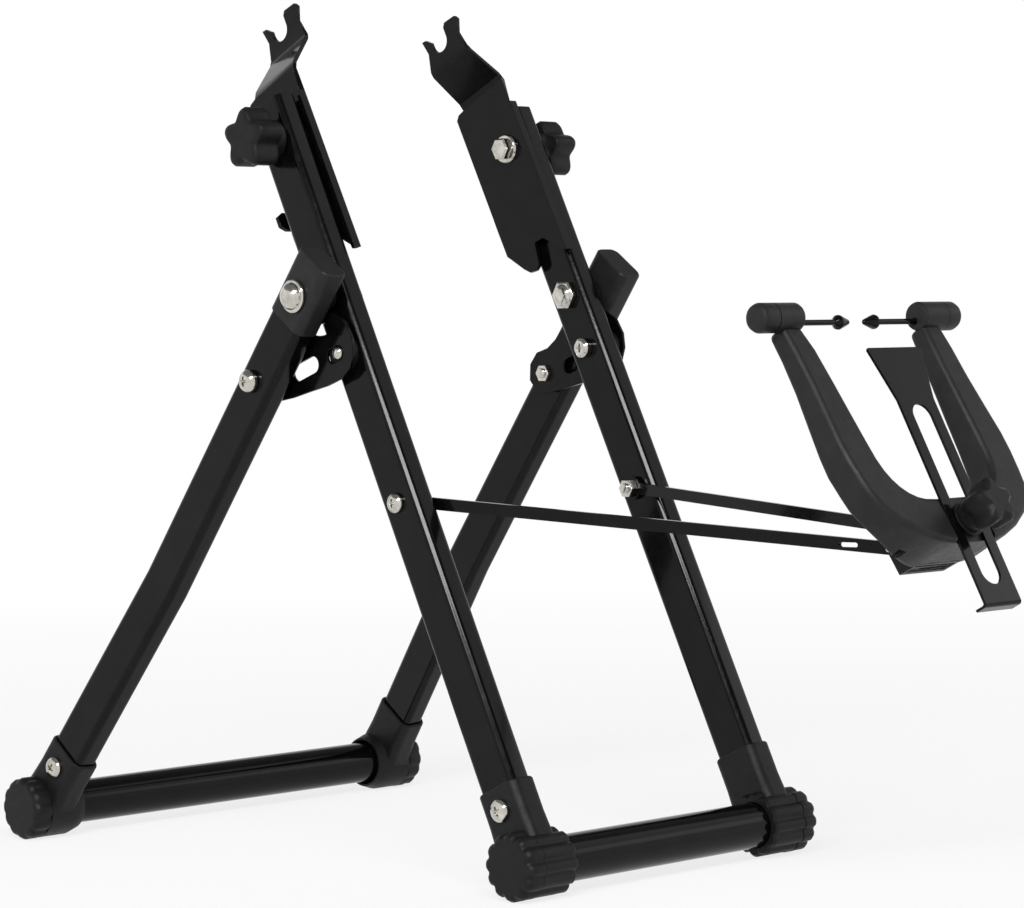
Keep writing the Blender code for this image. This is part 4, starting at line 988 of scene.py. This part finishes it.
def settle(piece):
    """Applies the piece's modifiers."""
    graph = bpy.context.evaluated_depsgraph_get()
    mesh = bpy.data.meshes.new_from_object(piece.evaluated_get(graph))
    piece.modifiers.clear()
    piece.data = mesh


def finish_piece(name, piece, materials):
    """Rounds the small edges, smooths the shading and puts the piece on its body."""
    settle(piece)
    bm = bmesh.new()
    bm.from_mesh(piece.data)
    bmesh.ops.remove_doubles(bm, verts=bm.verts, dist=0.00001)
    bmesh.ops.dissolve_degenerate(bm, edges=bm.edges, dist=0.00001)
    bm.to_mesh(piece.data)
    bm.free()
    width = EDGE_WIDTH.get(name.replace("left_", "").replace("right_", ""), USUAL_EDGE)
    soften(piece, "fine edges", width, 2, 38).miter_outer = "MITER_ARC"
    settle(piece)
    mesh = piece.data
    mesh.materials.clear()
    mesh.materials.append(materials[piece["look"]])
    mesh.shade_smooth()
    mesh.set_sharp_from_angle(angle=math.radians(40))
    normals = piece.modifiers.new("even normals", "WEIGHTED_NORMAL")
    normals.keep_sharp = True
    normals.weight = 60
    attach(piece, frame["nodes"][name]["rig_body"])
    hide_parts(name)


# Materials

def node(tree, kind, **inputs):
    made = tree.nodes.new(kind)
    for name, value in inputs.items():
        made.inputs[name.replace("_", " ")].default_value = value
    return made


def blank_material(name):
    material = bpy.data.materials.new(name)
    material.use_nodes = True
    return material, material.node_tree, material.node_tree.nodes["Principled BSDF"]


def noise(tree, scale, detail=3.0):
    place = tree.nodes.new("ShaderNodeTexCoord")
    made = node(tree, "ShaderNodeTexNoise", Scale=scale, Detail=detail, Roughness=0.55)
    tree.links.new(place.outputs["Object"], made.inputs["Vector"])
    return made.outputs["Fac"]


def spread(tree, value, low, high, start=0.3, end=0.7):
    """Maps a value between start and end onto a range."""
    made = node(tree, "ShaderNodeMapRange", From_Min=start, From_Max=end, To_Min=low, To_Max=high)
    tree.links.new(value, made.inputs["Value"])
    return made.outputs["Result"]


def tint(tree, value, dark, light):
    """Maps a noise value onto two colours."""
    made = tree.nodes.new("ShaderNodeValToRGB")
    for element, position, colour in zip(made.color_ramp.elements, (0.3, 0.7), (dark, light)):
        element.position = position
        element.color = (*colour, 1)
    tree.links.new(value, made.inputs["Fac"])
    return made.outputs["Color"]


def bumps(tree, shader, layers):
    """Stacks bump layers of (height value, strength, distance) onto the shader."""
    below = None
    for value, strength, distance in layers:
        made = node(tree, "ShaderNodeBump", Strength=strength, Distance=distance)
        tree.links.new(value, made.inputs["Height"])
        if below:
            tree.links.new(below, made.inputs["Normal"])
        below = made.outputs["Normal"]
    tree.links.new(below, shader.inputs["Normal"])


def powder_coat():
    """Satin black powder coat: deep black, a fine orange peel and a slightly uneven gloss."""
    material, tree, shader = blank_material("satin_black_powder_coat")
    link = tree.links.new
    link(tint(tree, noise(tree, 90), *POWDER_BLACK), shader.inputs["Base Color"])
    link(spread(tree, noise(tree, 260), 0.11, 0.16), shader.inputs["Roughness"])
    shader.inputs["Specular IOR Level"].default_value = 0.10
    shader.inputs["Coat Weight"].default_value = 0.12
    shader.inputs["Coat Roughness"].default_value = 0.06
    bumps(tree, shader, [(noise(tree, 420, 2), 0.04, 0.0003), (noise(tree, 1500, 2), 0.04, 0.0001)])
    return material


def plastic(name, colours, grain, rough):
    """Moulded plastic with a fine spark-eroded grain."""
    material, tree, shader = blank_material(name)
    link = tree.links.new
    link(tint(tree, noise(tree, 160, 4), *colours), shader.inputs["Base Color"])
    link(spread(tree, noise(tree, 500), rough - 0.05, rough + 0.06), shader.inputs["Roughness"])
    shader.inputs["Specular IOR Level"].default_value = 0.17
    bumps(tree, shader, [(noise(tree, 150, 2), 0.06, 0.0006), (noise(tree, 2200, 3), grain, 0.00015)])
    return material


def plating():
    """Bright zinc plating with faint fine bumps and a slightly uneven gloss."""
    material, tree, shader = blank_material("bright_zinc_plating")
    link = tree.links.new
    link(tint(tree, noise(tree, 240, 3), *ZINC), shader.inputs["Base Color"])
    link(spread(tree, noise(tree, 700, 4), 0.09, 0.20), shader.inputs["Roughness"])
    shader.inputs["Metallic"].default_value = 1.0
    bumps(tree, shader, [(noise(tree, 900, 2), 0.16, 0.0002)])
    return material


def make_materials():
    return {
        "powder": powder_coat(),
        "plastic": plastic("fine_grained_black_plastic", PLASTIC_BLACK, 0.22, 0.46),
        "moulded": plastic("dark_grey_moulding", MOULDED_GREY, 0.16, 0.42),
        "chrome": plating(),
    }


# Stage, light and camera

def maths(tree, operation, first, second):
    made = tree.nodes.new("ShaderNodeMath")
    made.operation = operation
    tree.links.new(first, made.inputs[0])
    tree.links.new(second, made.inputs[1])
    return made.outputs[0]


def white_to_camera(material, shader, near):
    """Mixes in plain white for camera, glossy and transmission rays.

    The share of white is near at SHADOW_REACH from the stand's middle and grows to all of it.
    """
    tree = material.node_tree
    rays = tree.nodes.new("ShaderNodeLightPath").outputs
    seen = rays["Is Camera Ray"]
    for other in ("Is Glossy Ray", "Is Transmission Ray"):
        seen = maths(tree, "MAXIMUM", seen, rays[other])
    place = tree.nodes.new("ShaderNodeTexCoord")
    distance = tree.nodes.new("ShaderNodeVectorMath")
    distance.operation = "LENGTH"
    tree.links.new(place.outputs["Object"], distance.inputs[0])
    share = spread(tree, distance.outputs["Value"], near, 1.0, SHADOW_REACH, WHITE_FROM)
    white = node(tree, "ShaderNodeEmission", Color=(1, 1, 1, 1), Strength=1.0)
    mix = tree.nodes.new("ShaderNodeMixShader")
    tree.links.new(maths(tree, "MULTIPLY", seen, share), mix.inputs[0])
    tree.links.new(shader.outputs[0], mix.inputs[1])
    tree.links.new(white.outputs[0], mix.inputs[2])
    tree.links.new(mix.outputs[0], tree.nodes["Material Output"].inputs["Surface"])


def stage_piece(name, bm, near):
    mesh = bpy.data.meshes.new(name)
    bm.to_mesh(mesh)
    bm.free()
    material, _, shader = blank_material(name + "_white")
    shader.inputs["Base Color"].default_value = (0.86, 0.86, 0.86, 1)
    shader.inputs["Roughness"].default_value = 0.9
    shader.inputs["Specular IOR Level"].default_value = 0.0
    white_to_camera(material, shader, near)
    mesh.materials.append(material)
    piece = bpy.data.objects.new(name, mesh)
    bpy.context.collection.objects.link(piece)


def make_stage():
    """Pale floor with a low white wall all round it, so that every side has a white background."""
    bm = bmesh.new()
    bm.faces.new([bm.verts.new((x, y, -0.0002)) for x, y in circle(STAGE_RADIUS, 64)])
    stage_piece("floor", bm, 0.8)
    bm = bmesh.new()
    low = [bm.verts.new((x, y, -0.01)) for x, y in circle(WALL_RADIUS, 96)]
    high = [bm.verts.new((vert.co.x, vert.co.y, WALL_TOP)) for vert in low]
    for index in range(len(low)):
        bm.faces.new((low[index - 1], low[index], high[index], high[index - 1]))
    stage_piece("backdrop", bm, 1.0)


def area_light(name, place, along, size, watts):
    """Soft box aimed at the stand, with its long side along the given direction."""
    light = bpy.data.lights.new(name, "AREA")
    light.shape = "RECTANGLE"
    light.size, light.size_y = size
    light.energy = watts
    back = (Vector(place) - Vector((0, 0, 0.2))).normalized()
    along = Vector(along)
    along = (along - along.dot(back) * back).normalized()
    lamp = bpy.data.objects.new(name, light)
    lamp.matrix_world = frame_of(Vector(place), along, back.cross(along), back)
    lamp.visible_camera = False
    bpy.context.collection.objects.link(lamp)


def make_light():
    """A plain soft room, a long soft box above the camera and a weak one to the right."""
    world = bpy.data.worlds.new("soft_room")
    world.use_nodes = True
    shade = world.node_tree.nodes["Background"]
    shade.inputs["Color"].default_value = (1, 1, 1, 1)
    shade.inputs["Strength"].default_value = ROOM_STRENGTH
    bpy.context.scene.world = world
    area_light("key", (-2.0, -1.55, 1.9), (0.70, -0.59, 0.29), (3.0, 0.35), KEY_WATTS)
    area_light("side", (2.6, -1.9, 2.2), (0.6, 0.8, 0), (2.4, 2.4), SIDE_WATTS)


def make_camera():
    azimuth, elevation, roll = (math.radians(angle) for angle in CAMERA_AIM)
    ahead = Vector((math.cos(elevation) * math.cos(azimuth), math.cos(elevation) * math.sin(azimuth),
                    math.sin(elevation)))
    level = Vector((math.sin(azimuth), -math.cos(azimuth), 0))
    above = level.cross(ahead)
    right = math.cos(roll) * level + math.sin(roll) * above
    top = math.cos(roll) * above - math.sin(roll) * level
    camera = bpy.data.objects.new("camera", bpy.data.cameras.new("camera"))
    camera.matrix_world = frame_of(CAMERA_AT, right, top, -ahead)
    camera.data.lens = CAMERA_LENS
    camera.data.sensor_width = 36
    camera.data.clip_start = 0.01
    bpy.context.collection.objects.link(camera)
    bpy.context.scene.camera = camera


def make_pieces():
    bolt = dropout_bolt()
    make_cross_tube("front_cross_tube", FRONT_BARREL[1] - 0.2, 0.0)
    make_cross_tube("rear_cross_tube", REAR_BARREL[1] - 0.2, REAR_TUBE_Y)
    for side in (-1, 1):
        make_upright(side)
        make_hinge_bolt(side)
        make_spacers(side)
        make_arm_bolt(side)
        make_leg_bolt(side)
        make_socket_screw("front_socket_screw", upright_frame(), side)
        make_socket_screw("rear_socket_screw", foot_of_leg(), side)
        make_foot_sleeve("front_foot", FRONT_BARREL, 0.0, upright_frame(), True, side)
        make_end_cap("front_end_cap", FRONT_BARREL[1] + GAP, 0.0, FRONT_LOBE_DEPTH, side)
        make_rear_leg(side)
        make_foot_sleeve("rear_foot", REAR_BARREL, REAR_TUBE_Y, foot_of_leg(), False, side)
        make_end_cap("rear_end_cap", REAR_BARREL[1] + GAP, REAR_TUBE_Y, REAR_LOBE_DEPTH, side)
        make_leg_cap(side)
        make_lock_bracket(side)
        make_lock_screw(side)
        make_dropout_plate(side)
        make_dropout_bolt(side)
        make_star_knob("dropout_knob", across(Vector((UPRIGHT_OUTER, bolt.y, bolt.z))),
                       hub=(9.0, 5.2), radius=14.6, depth=4.4, length=19.8, bore=DROPOUT_SHANK,
                       bore_depth=16.0, side=side)
        make_arm(side)
        make_caliper_pin(side)
        make_pointer(side)
        make_pointer_knob(side)
    make_caliper()
    make_gauge_bolt()
    make_gauge_plate()
    make_gauge_washer()
    knob_place = gauge_frame() @ Matrix.Translation((0, 0, GAUGE_WASHER + 2 * GAP))
    make_star_knob("gauge_knob", knob_place, hub=(6.6, 5.6), radius=10.8, depth=3.2, length=17.0,
                   bore=GAUGE_SHANK, bore_depth=12.6)


def main():
    materials = make_materials()
    make_pieces()
    for name, piece in PIECES.items():
        finish_piece(name, piece, materials)
    for helper in HELPERS:
        bpy.data.objects.remove(helper)
    make_stage()
    make_light()
    make_camera()
    bpy.context.scene.view_settings.view_transform = "Standard"


main()
